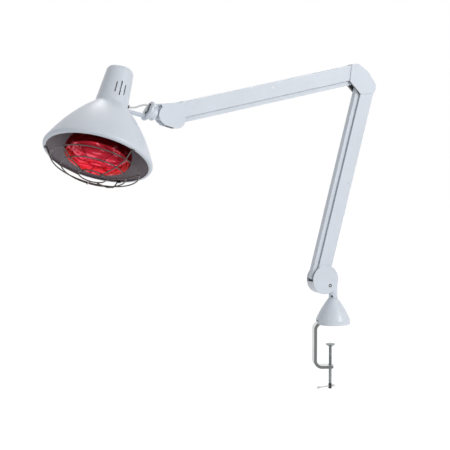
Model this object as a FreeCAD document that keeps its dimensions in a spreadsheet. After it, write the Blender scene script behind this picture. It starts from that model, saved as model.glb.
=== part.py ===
import FreeCAD, Part
import math
import os

import Sketcher
from FreeCAD import Matrix, Placement, Rotation, Vector

# Infrared heat therapy lamp on a two-link balanced arm with a table clamp.
# Millimetres. +Z is up, the arm's links swing in the XZ plane, and the origin is
# where the swivel axis meets the underside of the clamp's upper jaw.

SIZES = [
    # clamp
    ("clamp_angle", -19.5, "turn of the clamp about the swivel axis, degrees"),
    ("strip", 6.0, "thickness of the clamp's bent strip"),
    ("strip_width", 23.0, "width of the strip"),
    ("strip_bend", 16.8, "outer radius of the strip's bends"),
    ("jaw_reach", 29.0, "from the leg's inner face to the screw's axis"),
    ("jaw_height", 83.0, "from the upper jaw's face to the lower arm of the strip"),
    ("jaw_nose", 7.0, "from the screw's axis to the end of the lower arm"),
    ("upper_nose", 21.0, "from the swivel axis to the end of the upper flange"),
    ("screw_offset", 4.8, "from the swivel axis to the clamp screw's axis"),
    ("screw_radius", 3.1, "clamp screw"),
    ("screw_length", 77.5, "clamp screw without its head"),
    ("bush_radius", 5.5, "threaded bush in the lower arm"),
    ("head_length", 10.0, "black head of the clamp screw"),
    ("pad_radius", 9.2, "pressure pad"),
    ("pad_rim", 1.3, "thickness of the pressure pad's rim"),
    ("pad_hub", 5.2, "height of the pressure pad"),
    ("pad_drop", 40.5, "from the upper jaw's face to the pressure pad"),
    ("tommy_radius", 1.3, "tommy bar"),
    ("tommy_length", 42.0, "tommy bar between the ends of its knobs"),
    ("tommy_shift", 10.5, "how far the tommy bar has slid to one side"),
    ("tommy_angle", 25.0, "turn of the tommy bar about the screw, degrees"),
    ("knob_radius", 2.2, "knobs of the tommy bar"),
    ("knob_length", 5.0, "knobs of the tommy bar"),
    ("pad_throat", 4.0, "radius of the pressure pad's hub"),
    ("pad_seat", 2.2, "depth of the spindle's seat above the pad's hub face"),
    ("strip_corner", 9.0, "corners of the strip's ends"),
    ("fine_edge", 0.4, "finest rounding of turned edges"),
    ("small_edge", 0.6, "small rounding of turned edges"),
    ("soft_edge", 1.0, "soft rounding of turned edges"),
    ("dip_sheet", 0.3, "black dip on the end of the clamp screw"),
    # cone and socket
    ("cone_radius", 33.9, "base of the cone cover"),
    ("cone_band", 9.0, "straight band at the cone's foot"),
    ("cone_height", 51.6, "cone cover"),
    ("cone_top", 9.0, "radius of the cone's top"),
    ("cone_bulge", 1.6, "how far the cone's side bows out"),
    ("cone_wall", 1.8, "wall of the cone cover"),
    ("socket_flange", 17.0, "radius of the socket's foot"),
    ("socket_foot", 5.0, "height of the socket's foot"),
    ("socket_height", 47.0, "top of the socket"),
    ("bush_wall", 1.4, "plastic bush round the swivel post"),
    ("socket_wall", 1.6, "wall of the socket's tube"),
    ("post_radius", 6.0, "swivel post"),
    ("post_bottom", 14.0, "lower end of the swivel post"),
    ("post_top", 76.0, "upper end of the swivel post"),
    ("socket_floor", 13.9, "floor of the socket above the table face"),
    ("socket_screw", 2.0, "radius of the screws that hold the socket"),
    ("socket_screw_x", 13.0, "socket screws from the swivel axis"),
    ("socket_screw_head", 3.8, "radius of the socket screws' heads"),
    ("socket_screw_sunk", 0.5, "heads of the socket screws below the foot's face"),
    ("notch_height", 8.5, "notch of the cone for the clamp's strip"),
    ("running_gap", 0.1, "gap between faces that slide on each other"),
    ("seat_gap", 0.03, "gap round a piece that sits tight in its hole"),
    # shoulder
    ("shoulder_x", -24.2, "centre of the shoulder drum along X"),
    ("shoulder_z", 90.3, "centre of the shoulder drum above the table face"),
    ("drum_radius", 28.6, "shoulder drum"),
    ("drum_wall", 2.2, "rim wall of the shoulder drum"),
    ("drum_open_angle", 25.0, "right end of the drum's rim wall, degrees"),
    ("drum_close_angle", 186.0, "left end of the drum's rim wall, degrees"),
    ("neck_round", 3.0, "rounding of the neck's top"),
    ("neck_radius", 8.6, "neck under the shoulder drum"),
    ("neck_bottom", 52.1, "lower end of the neck"),
    ("neck_top", 84.0, "upper end of the neck"),
    ("joint_half", 13.0, "half of the depth of every joint"),
    ("cover", 1.6, "thickness of the joint covers"),
    ("cover_edge", 0.8, "rounding of the joint covers"),
    ("core_half", 9.4, "half of the depth of the joint cores"),
    ("boss_radius", 3.6, "bosses behind the joint covers"),
    ("joint_screw", 1.5, "radius of the joint covers' screws"),
    ("joint_screw_head", 2.8, "radius of their heads"),
    ("joint_screw_cap", 1.3, "height of their heads"),
    ("eye_radius", 3.5, "sunk eye of the shoulder cover's screw"),
    ("eye_x", -14.4, "shoulder cover's screw along X"),
    ("eye_z", 78.3, "shoulder cover's screw above the table face"),
    ("eye_head", 2.3, "head of the shoulder cover's screw"),
    ("eye_screw_length", 8.0, "shoulder cover's screw"),
    ("lock_radius", 2.0, "lock screw in the neck"),
    ("lock_height", 55.6, "lock screw above the table face"),
    ("lock_angle", 46.5, "turn of the lock screw about the swivel axis, degrees"),
    ("lock_proud", 0.9, "how far the lock screw stands out of the neck"),
    ("lock_drive", 0.9, "recess for the key in the lock screw"),
    ("lock_drive_depth", 1.5, "depth of that recess"),
    ("web_swing", 17.5, "free radius round an arm's pivot for its web"),
    ("bar_stop_angle", 41.0, "lean of the shoulder's stop for the parallel bar, degrees"),
    ("stop_rise", 4.8, "top of that stop above the bar's pivot"),
    ("boss_x", -13.4, "lower boss of the shoulder cover from the drum's centre along X"),
    ("boss_z", -17.8, "lower boss of the shoulder cover from the drum's centre along Z"),
    ("pivot_x", -29.3, "lower pivot of the lower arm along X"),
    ("pivot_z", 97.5, "lower pivot of the lower arm above the table face"),
    # arms
    ("arm_length", 388.0, "pivot to pivot, both arms"),
    ("lower_arm_angle", 15.2, "lean of the lower arm from upright, degrees"),
    ("forearm_angle", 11.8, "drop of the forearm from level, degrees"),
    ("link_offset", 16.0, "between the two pivots at each end of an arm"),
    ("channel_face", 29.0, "height of the channel's sides"),
    ("channel_depth", 22.0, "depth of the channel"),
    ("sheet_steel", 1.2, "wall of the channel"),
    ("web_start", 12.0, "from the pivot to the channel's web"),
    ("bar_face", 15.5, "height of the parallel bar"),
    ("bar_depth", 12.5, "depth of the parallel bar"),
    ("bar_wall", 1.5, "wall of the parallel bar"),
    ("long_edge", 1.5, "rounding of the channel's long edges"),
    ("pin_end", 0.3, "pins inside the channel's outer faces"),
    ("arm_pin", 3.0, "radius of the channels' pivot pins"),
    ("link_pin", 2.5, "radius of the bars' pivot pins"),
    ("pin_clearance", 0.06, "running clearance round the pins"),
    ("open_clearance", 0.4, "clearance at the bars' far pivots"),
    ("slip", 0.35, "clearance beside parts that slide past each other"),
    # springs
    ("stud_radius", 1.6, "stud that a spring hooks on"),
    ("stud_along", 11.0, "stud from the arm's pivot, along the arm"),
    ("stud_out", 5.0, "stud from the arm's pivot, towards the web"),
    ("spring_radius", 5.2, "outside of the spring's coil"),
    ("spring_wire", 1.4, "spring wire"),
    ("coil_start", 40.0, "from the arm's pivot to the coil"),
    ("coil_end", 20.0, "end of the coil short of the spring's anchor"),
    ("spring_reach", 190.0, "from the arm's pivot to the spring's anchor"),
    ("coil_cone", 4.0, "coned ends of the spring"),
    ("anchor_radius", 2.0, "pin that anchors the spring in the channel"),
    ("eye_play", 0.4, "play of the spring's eye on its anchor"),
    # elbow
    ("elbow_spread", 19.4, "arm pivots from the elbow's short axis"),
    ("elbow_rise", 4.7, "arm pivots above the elbow's long axis"),
    ("elbow_low", 21.2, "low side of the elbow covers from the long axis"),
    ("elbow_low_half", 18.4, "half of the low side"),
    ("elbow_low_corner", 2.5, "corners of the low side"),
    ("elbow_end", 37.6, "end corners of the elbow covers from the short axis"),
    ("elbow_end_rise", 3.6, "end corners above the long axis"),
    ("elbow_end_corner", 6.0, "rounding of the end corners"),
    ("elbow_back", 30.5, "back corners of the elbow covers from the short axis"),
    ("elbow_back_rise", 17.2, "back corners above the long axis"),
    ("elbow_back_corner", 12.0, "rounding of the back corners"),
    ("elbow_top", 22.4, "middle of the back above the long axis"),
    ("elbow_top_corner", 50.0, "rounding of the back's middle"),
    ("elbow_screw_high", 11.0, "upper screw on the elbow's short axis"),
    ("elbow_screw_low", -14.0, "lower screw on the elbow's short axis"),
    ("core_inset", 0.8, "core inside the outline of its covers"),
    ("elbow_slot_half", 12.0, "half of the elbow slots' common roof"),
    ("elbow_slot_shoulder", 21.0, "shoulder of an elbow slot from the short axis"),
    ("elbow_slot_drop", 1.2, "shoulder of an elbow slot below the long axis"),
    ("elbow_slot_mouth", 24.5, "mouth of an elbow slot from the short axis"),
    ("elbow_slot_rise", 4.0, "mouth of an elbow slot above the long axis"),
    ("elbow_clear_angle", 75.0, "room for an arm's web below the long axis, degrees"),
    # wrist
    ("wrist_right", 9.8, "right edge of the wrist cover from the arm's pivot"),
    ("wrist_left", 42.6, "left edge of the wrist cover from the arm's pivot"),
    ("wrist_high_corner", 4.0, "upper left corner of the wrist cover"),
    ("wrist_left_corner", 5.0, "lower left corner of the wrist cover"),
    ("wrist_low_corner", 16.0, "lower right corner of the wrist cover"),
    ("wrist_top_corner", 12.0, "upper right corner of the wrist cover"),
    ("wrist_top", 13.6, "top edge of the wrist cover from the arm's pivot"),
    ("wrist_slope", 1.75, "rise of the top edge from its middle to either side"),
    ("wrist_low_left", 23.2, "lower left corner below the arm's pivot"),
    ("wrist_low_right", 38.6, "lower right corner below the arm's pivot"),
    ("wrist_screw_high_x", -19.0, "upper screw of the wrist from the arm's pivot along X"),
    ("wrist_screw_high_z", 7.0, "upper screw of the wrist above the arm's pivot"),
    ("wrist_screw_low_x", -14.5, "lower screw of the wrist from the arm's pivot along X"),
    ("wrist_screw_low_z", -25.5, "lower screw of the wrist above the arm's pivot"),
    ("wrist_slot_back", 9.0, "back of the wrist's slot from the pivots"),
    ("wrist_slot_roof_x", -4.5, "low end of the wrist's slanted roof along X"),
    ("wrist_slot_roof_z", 5.0, "low end of the wrist's slanted roof above the pivot"),
    ("wrist_slot_angle", 28.8, "rise of the wrist's slanted roof, degrees"),
    ("core_swing_high_angle", 97.0, "upper end of the core's round edge, degrees"),
    ("core_swing_low_angle", 284.0, "lower end of the core's round edge, degrees"),
    ("fork_high_angle", 47.0, "upper end of the fork's round floor, degrees"),
    ("fork_low_angle", -28.0, "lower end of the fork's round floor, degrees"),
    ("cover_swing", 17.6, "radius of the wrist covers' hollow edge round the tilt bolt"),
    ("cover_swing_high_angle", 126.0, "upper end of the hollow edge, degrees"),
    ("cover_swing_low_angle", 246.0, "lower end of the hollow edge, degrees"),
    ("tilt_x", -24.6, "tilt bolt from the forearm's far pivot along X"),
    ("tilt_z", -8.4, "tilt bolt from the forearm's far pivot along Z"),
    ("tilt_radius", 3.0, "tilt bolt"),
    ("tilt_head", 5.0, "head of the tilt bolt"),
    ("tilt_cap", 1.5, "height of the tilt bolt's head"),
    ("cheek_radius", 12.8, "cheeks of the wrist core round the tilt bolt"),
    # knuckle
    ("tongue_radius", 11.4, "half of the tongue's width"),
    ("tongue_half", 4.8, "half of the tongue's thickness"),
    ("washer_sheet", 0.4, "friction washers beside the tongue"),
    ("face_x", -59.6, "middle of the turning plate from the far pivot along X"),
    ("face_z", -0.8, "middle of the turning plate from the far pivot along Z"),
    ("turn_angle", 29.3, "rise of the turning axis, degrees"),
    ("tongue_reach", 21.5, "from the tilt bolt to the tongue's far end"),
    ("tongue_angle", 13.2, "rise of the tongue, degrees"),
    ("bell_rim", 1.5, "rim of the bell"),
    ("bell_radius", 19.3, "mouth of the bell"),
    ("bell_depth", 16.0, "depth of the bell"),
    ("bell_flare", 7.0, "depth of the bell's flare"),
    ("bell_waist", 12.7, "radius of the bell behind its flare"),
    ("bell_curve", 5.0, "curve of the flare"),
    ("bell_back", 4.0, "rounding of the bell's back"),
    ("plate_sheet", 2.0, "turning plate"),
    ("turn_bolt", 3.0, "radius of the turning bolt"),
    ("ring_radius", 7.2, "black washer on the turning plate"),
    ("ring_hole", 4.6, "hole of the black washer"),
    ("ring_sheet", 1.0, "thickness of the black washer"),
    ("turn_head", 4.4, "radius of the turning bolt's head"),
    ("turn_cap", 3.4, "height of the turning bolt's head"),
    ("turn_depth", 15.0, "turning bolt inside the bell"),
    # head
    ("stem_yaw_angle", 19.5, "turn of the stem about Z, degrees"),
    ("stem_dip_angle", 15.5, "dip of the stem towards the arm, degrees"),
    ("shade_roll_angle", 24.8, "roll of the shade about the stem, degrees"),
    ("stem_root", 3.8, "stem's root in front of the turning plate"),
    ("stem_radius", 4.2, "stem tube"),
    ("stem_bore", 2.6, "bore of the stem tube"),
    ("stem_drop", 12.0, "stem's root below the turning axis"),
    ("stem_length", 60.2, "from the turning plate to the shade's axis"),
    ("stem_inside", 24.0, "inner end of the stem from the shade's axis"),
    ("shade_radius", 103.0, "corner of the shade's mouth before its rounding"),
    ("shade_height", 183.0, "shade with its neck"),
    ("bell_height", 106.0, "height of the shade's bell"),
    ("lip_radius", 5.0, "rounding of the lip that turns in at the mouth"),
    ("lip_width", 9.0, "flat of the lip, from the corner of the mouth inwards"),
    ("bell_top", 30.7, "radius where the bell meets the neck"),
    ("bell_bow", 6.6, "how far the bell's side bows out"),
    ("neck_end", 24.8, "radius of the neck's upper end"),
    ("crown", 8.0, "rounding of the neck's upper end"),
    ("shade_wall", 1.2, "sheet of the shade"),
    ("shade_fillet", 5.0, "fillet between the shade's bell and neck"),
    ("nut_radius", 7.0, "stem nut inside the shade, over its corners"),
    ("nut_height", 4.0, "stem nut"),
    ("slot_width", 2.2, "vent slots"),
    ("slot_long", 30.5, "middle vent slot of each group"),
    ("slot_short", 22.0, "outer vent slots of each group"),
    ("slot_middle", 134.0, "height of the vent slots' middle"),
    ("slot_step_angle", 17.8, "between neighbouring vent slots, degrees"),
    ("slot_group_angle", 73.0, "middle of each group from the stem, degrees"),
    # bulb and holder
    ("bulb_radius", 62.5, "reflector bulb"),
    ("bulb_ring", 120.0, "from the bulb's widest ring to the end of its neck"),
    ("bulb_neck", 18.5, "neck of the bulb"),
    ("bulb_height", 150.0, "bulb from its face to the end of its neck"),
    ("glass_wall", 1.6, "wall of the bulb"),
    ("cap_radius", 13.3, "screw cap of the bulb"),
    ("cap_height", 33.0, "screw cap beyond the bulb's neck"),
    ("cap_skirt", 5.5, "height of the cap's skirt on the glass"),
    ("cap_skirt_step", 0.8, "skirt inside the radius of the bulb's neck"),
    ("cap_shoulder", 3.0, "height of the cap's shoulder"),
    ("contact_rise", 2.5, "end contact beyond the cap's shoulder"),
    ("contact_radius", 4.5, "end contact"),
    ("contact_ring", 6.5, "glass ring round the end contact"),
    ("holder_radius", 19.6, "porcelain lampholder"),
    ("holder_height", 35.0, "porcelain lampholder"),
    ("holder_taper", 1.2, "taper of the lampholder towards its mouth"),
    ("holder_taper_run", 12.0, "height of that taper"),
    ("holder_drop", 13.0, "lampholder below the shade's crown"),
    ("cap_room", 8.0, "end of the cap below the lampholder's top"),
    ("bracket_sheet", 1.5, "lampholder bracket"),
    ("bracket_width", 12.0, "lampholder bracket"),
    ("bracket_bend", 2.5, "outside of the bracket's fold"),
    ("bracket_tail", 8.0, "lower end of the bracket below the stem"),
    ("bracket_fold", -9.0, "end of the bracket's fold past the shade's axis"),
    ("bracket_high_gap", 1.9, "from the neck's wall to the bracket's fold"),
    ("bracket_low_gap", 1.1, "from the neck's wall to the bracket's lower end"),
    ("holder_screw_x", 5.0, "screws that hold the lampholder, from its axis"),
    # guard
    ("wire", 1.15, "radius of the guard's wire"),
    ("wire_nest", 1.84, "offset of a crossing wire from its ring"),
    ("ring_1", 81.0, "radius of the guard's outer ring"),
    ("ring_2", 59.0, "radius of the guard's middle ring"),
    ("ring_3", 25.0, "radius of the guard's inner ring"),
    ("drop_1", 16.0, "outer ring below the mouth"),
    ("drop_2", 27.0, "middle ring below the mouth"),
    ("drop_3", 36.0, "inner ring below the mouth"),
    ("guard_bend", 9.0, "bends of the guard's radial wires"),
    ("leg_gap", 1.12, "from the end of a leg's middle line to its clip"),
    ("clip_reach", 2.2, "clips over the inside of the lip"),
    ("clip_lip", 2.4, "clips under the outside of the lip"),
    ("clip_width", 7.0, "clips that hold the guard"),
    ("clip_sheet", 1.1, "sheet of the clips"),
    ("clip_gap", 0.2, "clearance of the clips round the lip"),
    # flex
    ("flex_start", 13.0, "straight run of the flex out of the plate"),
    ("flex_end", 11.0, "straight run of the flex into the neck"),
    ("grommet_radius", 3.4, "grommets of the flex"),
    ("grommet_sheet", 1.6, "grommets of the flex outside their holes"),
    ("flex_radius", 1.75, "flex between the wrist and the shade"),
    ("flex_rise", 10.9, "flex hole above the turning axis"),
    ("flex_above", 9.0, "flex hole in the neck above the stem's hole"),
]

doc = FreeCAD.newDocument("infrared_lamp")
sheet = doc.addObject("Spreadsheet::Sheet", "Sizes")
for row, (alias, value, meaning) in enumerate(SIZES, 1):
    sheet.set(f"A{row}", alias)
    sheet.set(f"B{row}", str(value))
    sheet.set(f"C{row}", meaning)
    sheet.setAlias(f"B{row}", alias)
doc.recompute()

parts = []


def size(alias):
    """A driving dimension from the sheet."""
    return float(getattr(sheet, alias))


# ---------------------------------------------------------------- helpers


def flat(x, z):
    """A point or direction in the plane that the arms swing in."""
    return Vector(x, 0, z)


def moved(x=0.0, y=0.0, z=0.0):
    return Placement(Vector(x, y, z), Rotation())


def turned_by(axis, angle):
    return Placement(Vector(0, 0, 0), Rotation(axis, angle))


def axes(origin, x_axis, z_axis):
    """A placement whose X and Z run along the given directions."""
    x = Vector(x_axis).normalize()
    z = Vector(z_axis).normalize()
    y = z.cross(x)
    o = Vector(origin)
    rows = (x.x, y.x, z.x, o.x, x.y, y.y, z.y, o.y, x.z, y.z, z.z, o.z, 0, 0, 0, 1)
    return Placement(Matrix(*rows))


def new_body(label, placement=Placement(), kept=True):
    """A body; one that isn't kept is only an ingredient of another piece."""
    body = doc.addObject("PartDesign::Body", label)
    body.Label = label
    body.Placement = placement
    if kept:
        parts.append(body)
    return body


def new_sketch(body, plane, offset=Placement()):
    """A sketch on one of the body's own origin planes."""
    sketch = body.newObject("Sketcher::SketchObject", "Sketch")
    for feature in body.Origin.OriginFeatures:
        if feature.Role == plane:
            sketch.AttachmentSupport = [(feature, "")]
    sketch.MapMode = "FlatFace"
    sketch.AttachmentOffset = offset
    return sketch


def rounded_path(corners):
    """Lines and arcs of a closed outline; a corner is (x, y) or (x, y, radius)."""
    count = len(corners)
    points = [Vector(c[0], c[1], 0) for c in corners]
    arrive = []
    leave = []
    arcs = []
    for i, corner in enumerate(points):
        radius = corners[i][2] if len(corners[i]) > 2 else 0.0
        if radius == 0:
            arrive.append(corner)
            leave.append(corner)
            arcs.append(None)
            continue
        back = (points[i - 1] - corner).normalize()
        onward = (points[(i + 1) % count] - corner).normalize()
        half = back.getAngle(onward) / 2
        inward = (back + onward).normalize()
        start = corner + back * (radius / math.tan(half))
        end = corner + onward * (radius / math.tan(half))
        middle = corner + inward * (radius / math.sin(half) - radius)
        arrive.append(start)
        leave.append(end)
        arcs.append(Part.Arc(start, middle, end))
    path = []
    for i in range(count):
        if arcs[i] is not None:
            path.append(arcs[i])
        end = arrive[(i + 1) % count]
        if (end - leave[i]).Length > 1e-6:
            path.append(Part.LineSegment(leave[i], end))
    return path


def bowed_arc(start, end, bow):
    """An arc between two points that bows out to the right of its way by bow."""
    a = Vector(start[0], start[1], 0)
    b = Vector(end[0], end[1], 0)
    across = Vector(b.y - a.y, a.x - b.x, 0).normalize()
    return Part.Arc(a, (a + b) * 0.5 + across * bow, b)


def straight(*points):
    """Line segments from point to point."""
    ends = [Vector(p[0], p[1], 0) for p in points]
    return [Part.LineSegment(a, b) for a, b in zip(ends, ends[1:])]


def polar(x, y, radius, angle):
    turn = math.radians(angle)
    return Vector(x + radius * math.cos(turn), y + radius * math.sin(turn), 0)


def arc_about(x, y, radius, start, end):
    """An arc about a centre from one angle to another, in degrees."""
    middle = polar(x, y, radius, (start + end) / 2)
    return Part.Arc(polar(x, y, radius, start), middle, polar(x, y, radius, end))


def sector(x, y, inner, outer, start, end):
    """Outline of a part of a ring between two angles."""
    return [
        arc_about(x, y, outer, start, end),
        Part.LineSegment(polar(x, y, outer, end), polar(x, y, inner, end)),
        arc_about(x, y, inner, end, start),
        Part.LineSegment(polar(x, y, inner, start), polar(x, y, outer, start)),
    ]


def stadium(x, y, length, angle, radius):
    """Outline round two circles of one radius, the first about (x, y)."""
    far = polar(x, y, length, angle)
    low = polar(x, y, radius, angle - 90)
    high = polar(x, y, radius, angle + 90)
    shift = far - Vector(x, y, 0)
    return [
        Part.LineSegment(low, low + shift),
        arc_about(far.x, far.y, radius, angle - 90, angle + 90),
        Part.LineSegment(high + shift, high),
        arc_about(x, y, radius, angle + 90, angle + 270),
    ]


def drawn_in(corners, inset):
    """A convex outline of (x, y, radius), counterclockwise, moved inwards."""
    moved_in = []
    for i, (x, y, radius) in enumerate(corners):
        after = corners[(i + 1) % len(corners)]
        arrive = Vector(x - corners[i - 1][0], y - corners[i - 1][1], 0).normalize()
        leave = Vector(after[0] - x, after[1] - y, 0).normalize()
        half = arrive.getAngle(leave) / 2
        inward = Vector(-arrive.y - leave.y, arrive.x + leave.x, 0).normalize()
        point = Vector(x, y, 0) + inward * (inset / math.cos(half))
        moved_in.append((point.x, point.y, max(radius - inset, inset)))
    return moved_in


def draw(sketch, path):
    """Adds an outline to a sketch and ties its straight edges at their ends."""
    first = len(sketch.Geometry)
    for edge in path:
        sketch.addGeometry(edge, False)
    if all(isinstance(edge, Part.LineSegment) for edge in path):
        count = len(path)
        for i in range(count):
            tie = Sketcher.Constraint("Coincident", first + i, 2, first + (i + 1) % count, 1)
            sketch.addConstraint(tie)


def draw_circle(sketch, x, y, radius):
    """A circle whose radius is bound to an expression of the sheet."""
    value = sketch.evalExpression(radius)
    index = sketch.addGeometry(Part.Circle(Vector(x, y, 0), Vector(0, 0, 1), value), False)
    rule = sketch.addConstraint(Sketcher.Constraint("Radius", index, value))
    sketch.setExpression(f"Constraints[{rule}]", radius)


def pad(body, sketch, length, both_ways=True):
    feature = body.newObject("PartDesign::Pad", "Pad")
    feature.Profile = sketch
    feature.SideType = "Symmetric" if both_ways else "One side"
    feature.setExpression("Length", length)
    sketch.Visibility = False
    doc.recompute()
    return feature


def check_cut(body, feature, before):
    doc.recompute()
    if body.Shape.Volume > before - 1e-6:
        raise RuntimeError(f"{body.Label}: {feature.Name} cuts nothing")


def pocket(body, sketch, length, both_ways=True, upward=False):
    """Cuts a pocket, away from the sketch's normal unless it runs both ways or upward."""
    doc.recompute()
    before = body.Shape.Volume
    feature = body.newObject("PartDesign::Pocket", "Pocket")
    feature.Profile = sketch
    feature.SideType = "Symmetric" if both_ways else "One side"
    feature.Reversed = upward
    feature.setExpression("Length", length)
    sketch.Visibility = False
    check_cut(body, feature, before)
    return feature


def drill(body, plane, holes, depth, offset=Placement()):
    """Cuts round holes both ways; a hole is (x, y, radius expression)."""
    sketch = new_sketch(body, plane, offset)
    for x, y, radius in holes:
        draw_circle(sketch, x, y, radius)
    return pocket(body, sketch, depth)


def revolve(body, path, axis="V_Axis", offset=Placement()):
    """Adds an outline turned about an axis of its sketch in the XZ plane."""
    sketch = new_sketch(body, "XZ_Plane", offset)
    draw(sketch, path)
    feature = body.newObject("PartDesign::Revolution", "Revolution")
    feature.Profile = sketch
    feature.ReferenceAxis = (sketch, [axis])
    feature.Angle = 360.0
    sketch.Visibility = False
    doc.recompute()
    return feature


def bore(body, corners, offset=Placement()):
    """Cuts an outline of (radius, height) turned about the sketch's own height axis."""
    doc.recompute()
    before = body.Shape.Volume
    sketch = new_sketch(body, "XZ_Plane", offset)
    draw(sketch, rounded_path(corners))
    feature = body.newObject("PartDesign::Groove", "Groove")
    feature.Profile = sketch
    feature.ReferenceAxis = (sketch, ["V_Axis"])
    feature.Angle = 360.0
    sketch.Visibility = False
    check_cut(body, feature, before)
    return feature


def round_edges(body, radius, chosen):
    """Fillets the edges of the body for which chosen(bounding box) holds."""
    doc.recompute()
    base = body.Tip
    edges = enumerate(base.Shape.Edges, 1)
    names = [f"Edge{i}" for i, edge in edges if chosen(edge.BoundBox)]
    if not names:
        raise RuntimeError(f"{body.Label}: no edge to round")
    feature = body.newObject("PartDesign::Fillet", "Fillet")
    feature.Base = (base, names)
    feature.setExpression("Radius", radius)
    doc.recompute()
    return feature


def turned(label, corners, placement=Placement(), kept=True):
    """A solid of revolution about its own Z, from an outline of (radius, height)."""
    body = new_body(label, placement, kept)
    revolve(body, rounded_path(corners))
    return body


def together(label, pieces):
    """One node that holds several alike pieces."""
    group = doc.addObject("Part::Compound", label)
    group.Links = pieces
    group.Label = label
    parts.append(group)
    return group


def cross_pin(label, place, radius, length, kept=True):
    """A round pin along Y, centred on the arms' plane."""
    pin = doc.addObject("Part::Cylinder", label)
    pin.Label = label
    pin.setExpression("Radius", radius)
    pin.setExpression("Height", length)
    half = pin.evalExpression(length) / 2
    pin.Placement = Placement(Vector(place.x, half, place.z), Rotation(Vector(1, 0, 0), 90))
    if kept:
        parts.append(pin)
    return pin


def disc_path(x, y, radius):
    return [Part.Circle(Vector(x, y, 0), Vector(0, 0, 1), radius)]


def rod(label, start, end, radius):
    """A round rod between two points, an ingredient of another piece."""
    piece = doc.addObject("Part::Cylinder", label)
    piece.setExpression("Radius", radius)
    piece.Height = (end - start).Length
    piece.Placement = Placement(start, Rotation(Vector(0, 0, 1), end - start))
    return piece


def bent_rod(points, radius, bend=0.0):
    """A round rod on straight runs joined by arcs, of one bend or as large as they fit."""
    edges = []
    begin = points[0]
    for before, corner, after in zip(points, points[1:], points[2:]):
        back = (before - corner).normalize()
        onward = (after - corner).normalize()
        half = back.getAngle(onward) / 2
        shorter = min((before - corner).Length, (after - corner).Length)
        turn_radius = bend or 0.45 * shorter * math.tan(half)
        reach = turn_radius / math.tan(half)
        if not bend:
            print(f"bend radius {turn_radius:.1f}")
        inward = (back + onward).normalize()
        start, end = corner + back * reach, corner + onward * reach
        middle = corner + inward * (turn_radius / math.sin(half) - turn_radius)
        edges.append(Part.LineSegment(begin, start).toShape())
        edges.append(Part.Arc(start, middle, end).toShape())
        begin = end
    edges.append(Part.LineSegment(begin, points[-1]).toShape())
    ring = Part.Wire(Part.makeCircle(radius, points[0], points[1] - points[0]))
    tube = Part.Wire(edges).makePipeShell([ring], True, True)
    expected = math.pi * radius**2 * sum(edge.Length for edge in edges)
    if abs(tube.Volume / expected - 1) > 0.01:
        raise RuntimeError(f"a bent rod has volume {tube.Volume:.1f} instead of {expected:.1f}")
    return tube


def cap_screw(label, head, cap, shank, length, placement, kept=True):
    """A screw along its own Z: the head stands above the origin, the shank below."""
    edge = size("fine_edge")
    corners = [(0, -length), (shank, -length), (shank, 0), (head, 0), (head, cap, edge), (0, cap)]
    return turned(label, corners, placement, kept)


# ---------------------------------------------------------------- places

lean = math.radians(size("lower_arm_angle"))
drop = math.radians(size("forearm_angle"))
lower_along = flat(math.sin(lean), math.cos(lean))
lower_out = flat(math.cos(lean), -math.sin(lean))
fore_along = flat(-math.cos(drop), -math.sin(drop))
fore_out = flat(-math.sin(drop), math.cos(drop))

shoulder = flat(size("shoulder_x"), size("shoulder_z"))
shoulder_arm = flat(size("pivot_x"), size("pivot_z"))
shoulder_link = shoulder_arm - flat(size("link_offset"), 0)
elbow_lower_arm = shoulder_arm + lower_along * size("arm_length")
elbow_lower_link = elbow_lower_arm - flat(size("link_offset"), 0)

# The elbow is symmetric about an axis that rises at 45 degrees.
elbow_long = flat(1, -1).normalize()
elbow_short = flat(1, 1).normalize()
elbow = elbow_lower_arm - elbow_long * size("elbow_spread") - elbow_short * size("elbow_rise")
elbow_fore_arm = elbow - elbow_long * size("elbow_spread") + elbow_short * size("elbow_rise")
elbow_fore_link = elbow_fore_arm - flat(0, size("link_offset"))
wrist_arm = elbow_fore_arm + fore_along * size("arm_length")
wrist_link = wrist_arm - flat(0, size("link_offset"))
tilt = wrist_arm + flat(size("tilt_x"), size("tilt_z"))

rise = math.radians(size("turn_angle"))
turn_axis = flat(-math.cos(rise), math.sin(rise))
turn_up = flat(math.sin(rise), math.cos(rise))
face = wrist_arm + flat(size("face_x"), size("face_z"))

lower_frame = axes(shoulder_arm, lower_along, lower_out)
fore_frame = axes(elbow_fore_arm, fore_along, fore_out)
elbow_frame = axes(elbow, elbow_long, elbow_short)
wrist_frame = Placement(wrist_arm, Rotation())

# The stem runs from the turning plate to the shade's axis, and the shade hangs
# rolled about it. In the head's frame Z is the shade's axis, X points to the arm.
yaw = math.radians(size("stem_yaw_angle"))
dip = math.radians(size("stem_dip_angle"))
roll = math.radians(size("shade_roll_angle"))
level = Vector(math.sin(yaw), math.cos(yaw), 0)
head_x = Vector(math.cos(dip) * math.cos(yaw), -math.cos(dip) * math.sin(yaw), -math.sin(dip))
head_z = head_x.cross(level) * math.cos(roll) + level * math.sin(roll)
stem_root = face + turn_axis * size("stem_root") - turn_up * size("stem_drop")
shade_axis = stem_root - head_x * size("stem_length")
head_frame = axes(shade_axis - head_z * size("bell_height"), head_x, head_z)
flex_height = size("bell_height") + size("flex_above")
holder_top = size("shade_height") - size("holder_drop")
holder_low = holder_top - size("holder_height")
cap_top = holder_top - size("cap_room")
bulb_end = cap_top - size("cap_height")

cover_middle = size("joint_half") - size("cover") / 2
joint_gap = size("joint_half") - size("cover") - size("core_half")
CORE = "2 * Sizes.core_half"
BAR_SLOT = "Sizes.bar_depth + 2 * Sizes.slip"
ARM_PIN = "Sizes.arm_pin + Sizes.pin_clearance"
LINK_PIN = "Sizes.link_pin + Sizes.pin_clearance"

# ---------------------------------------------------------------- clamp

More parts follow.
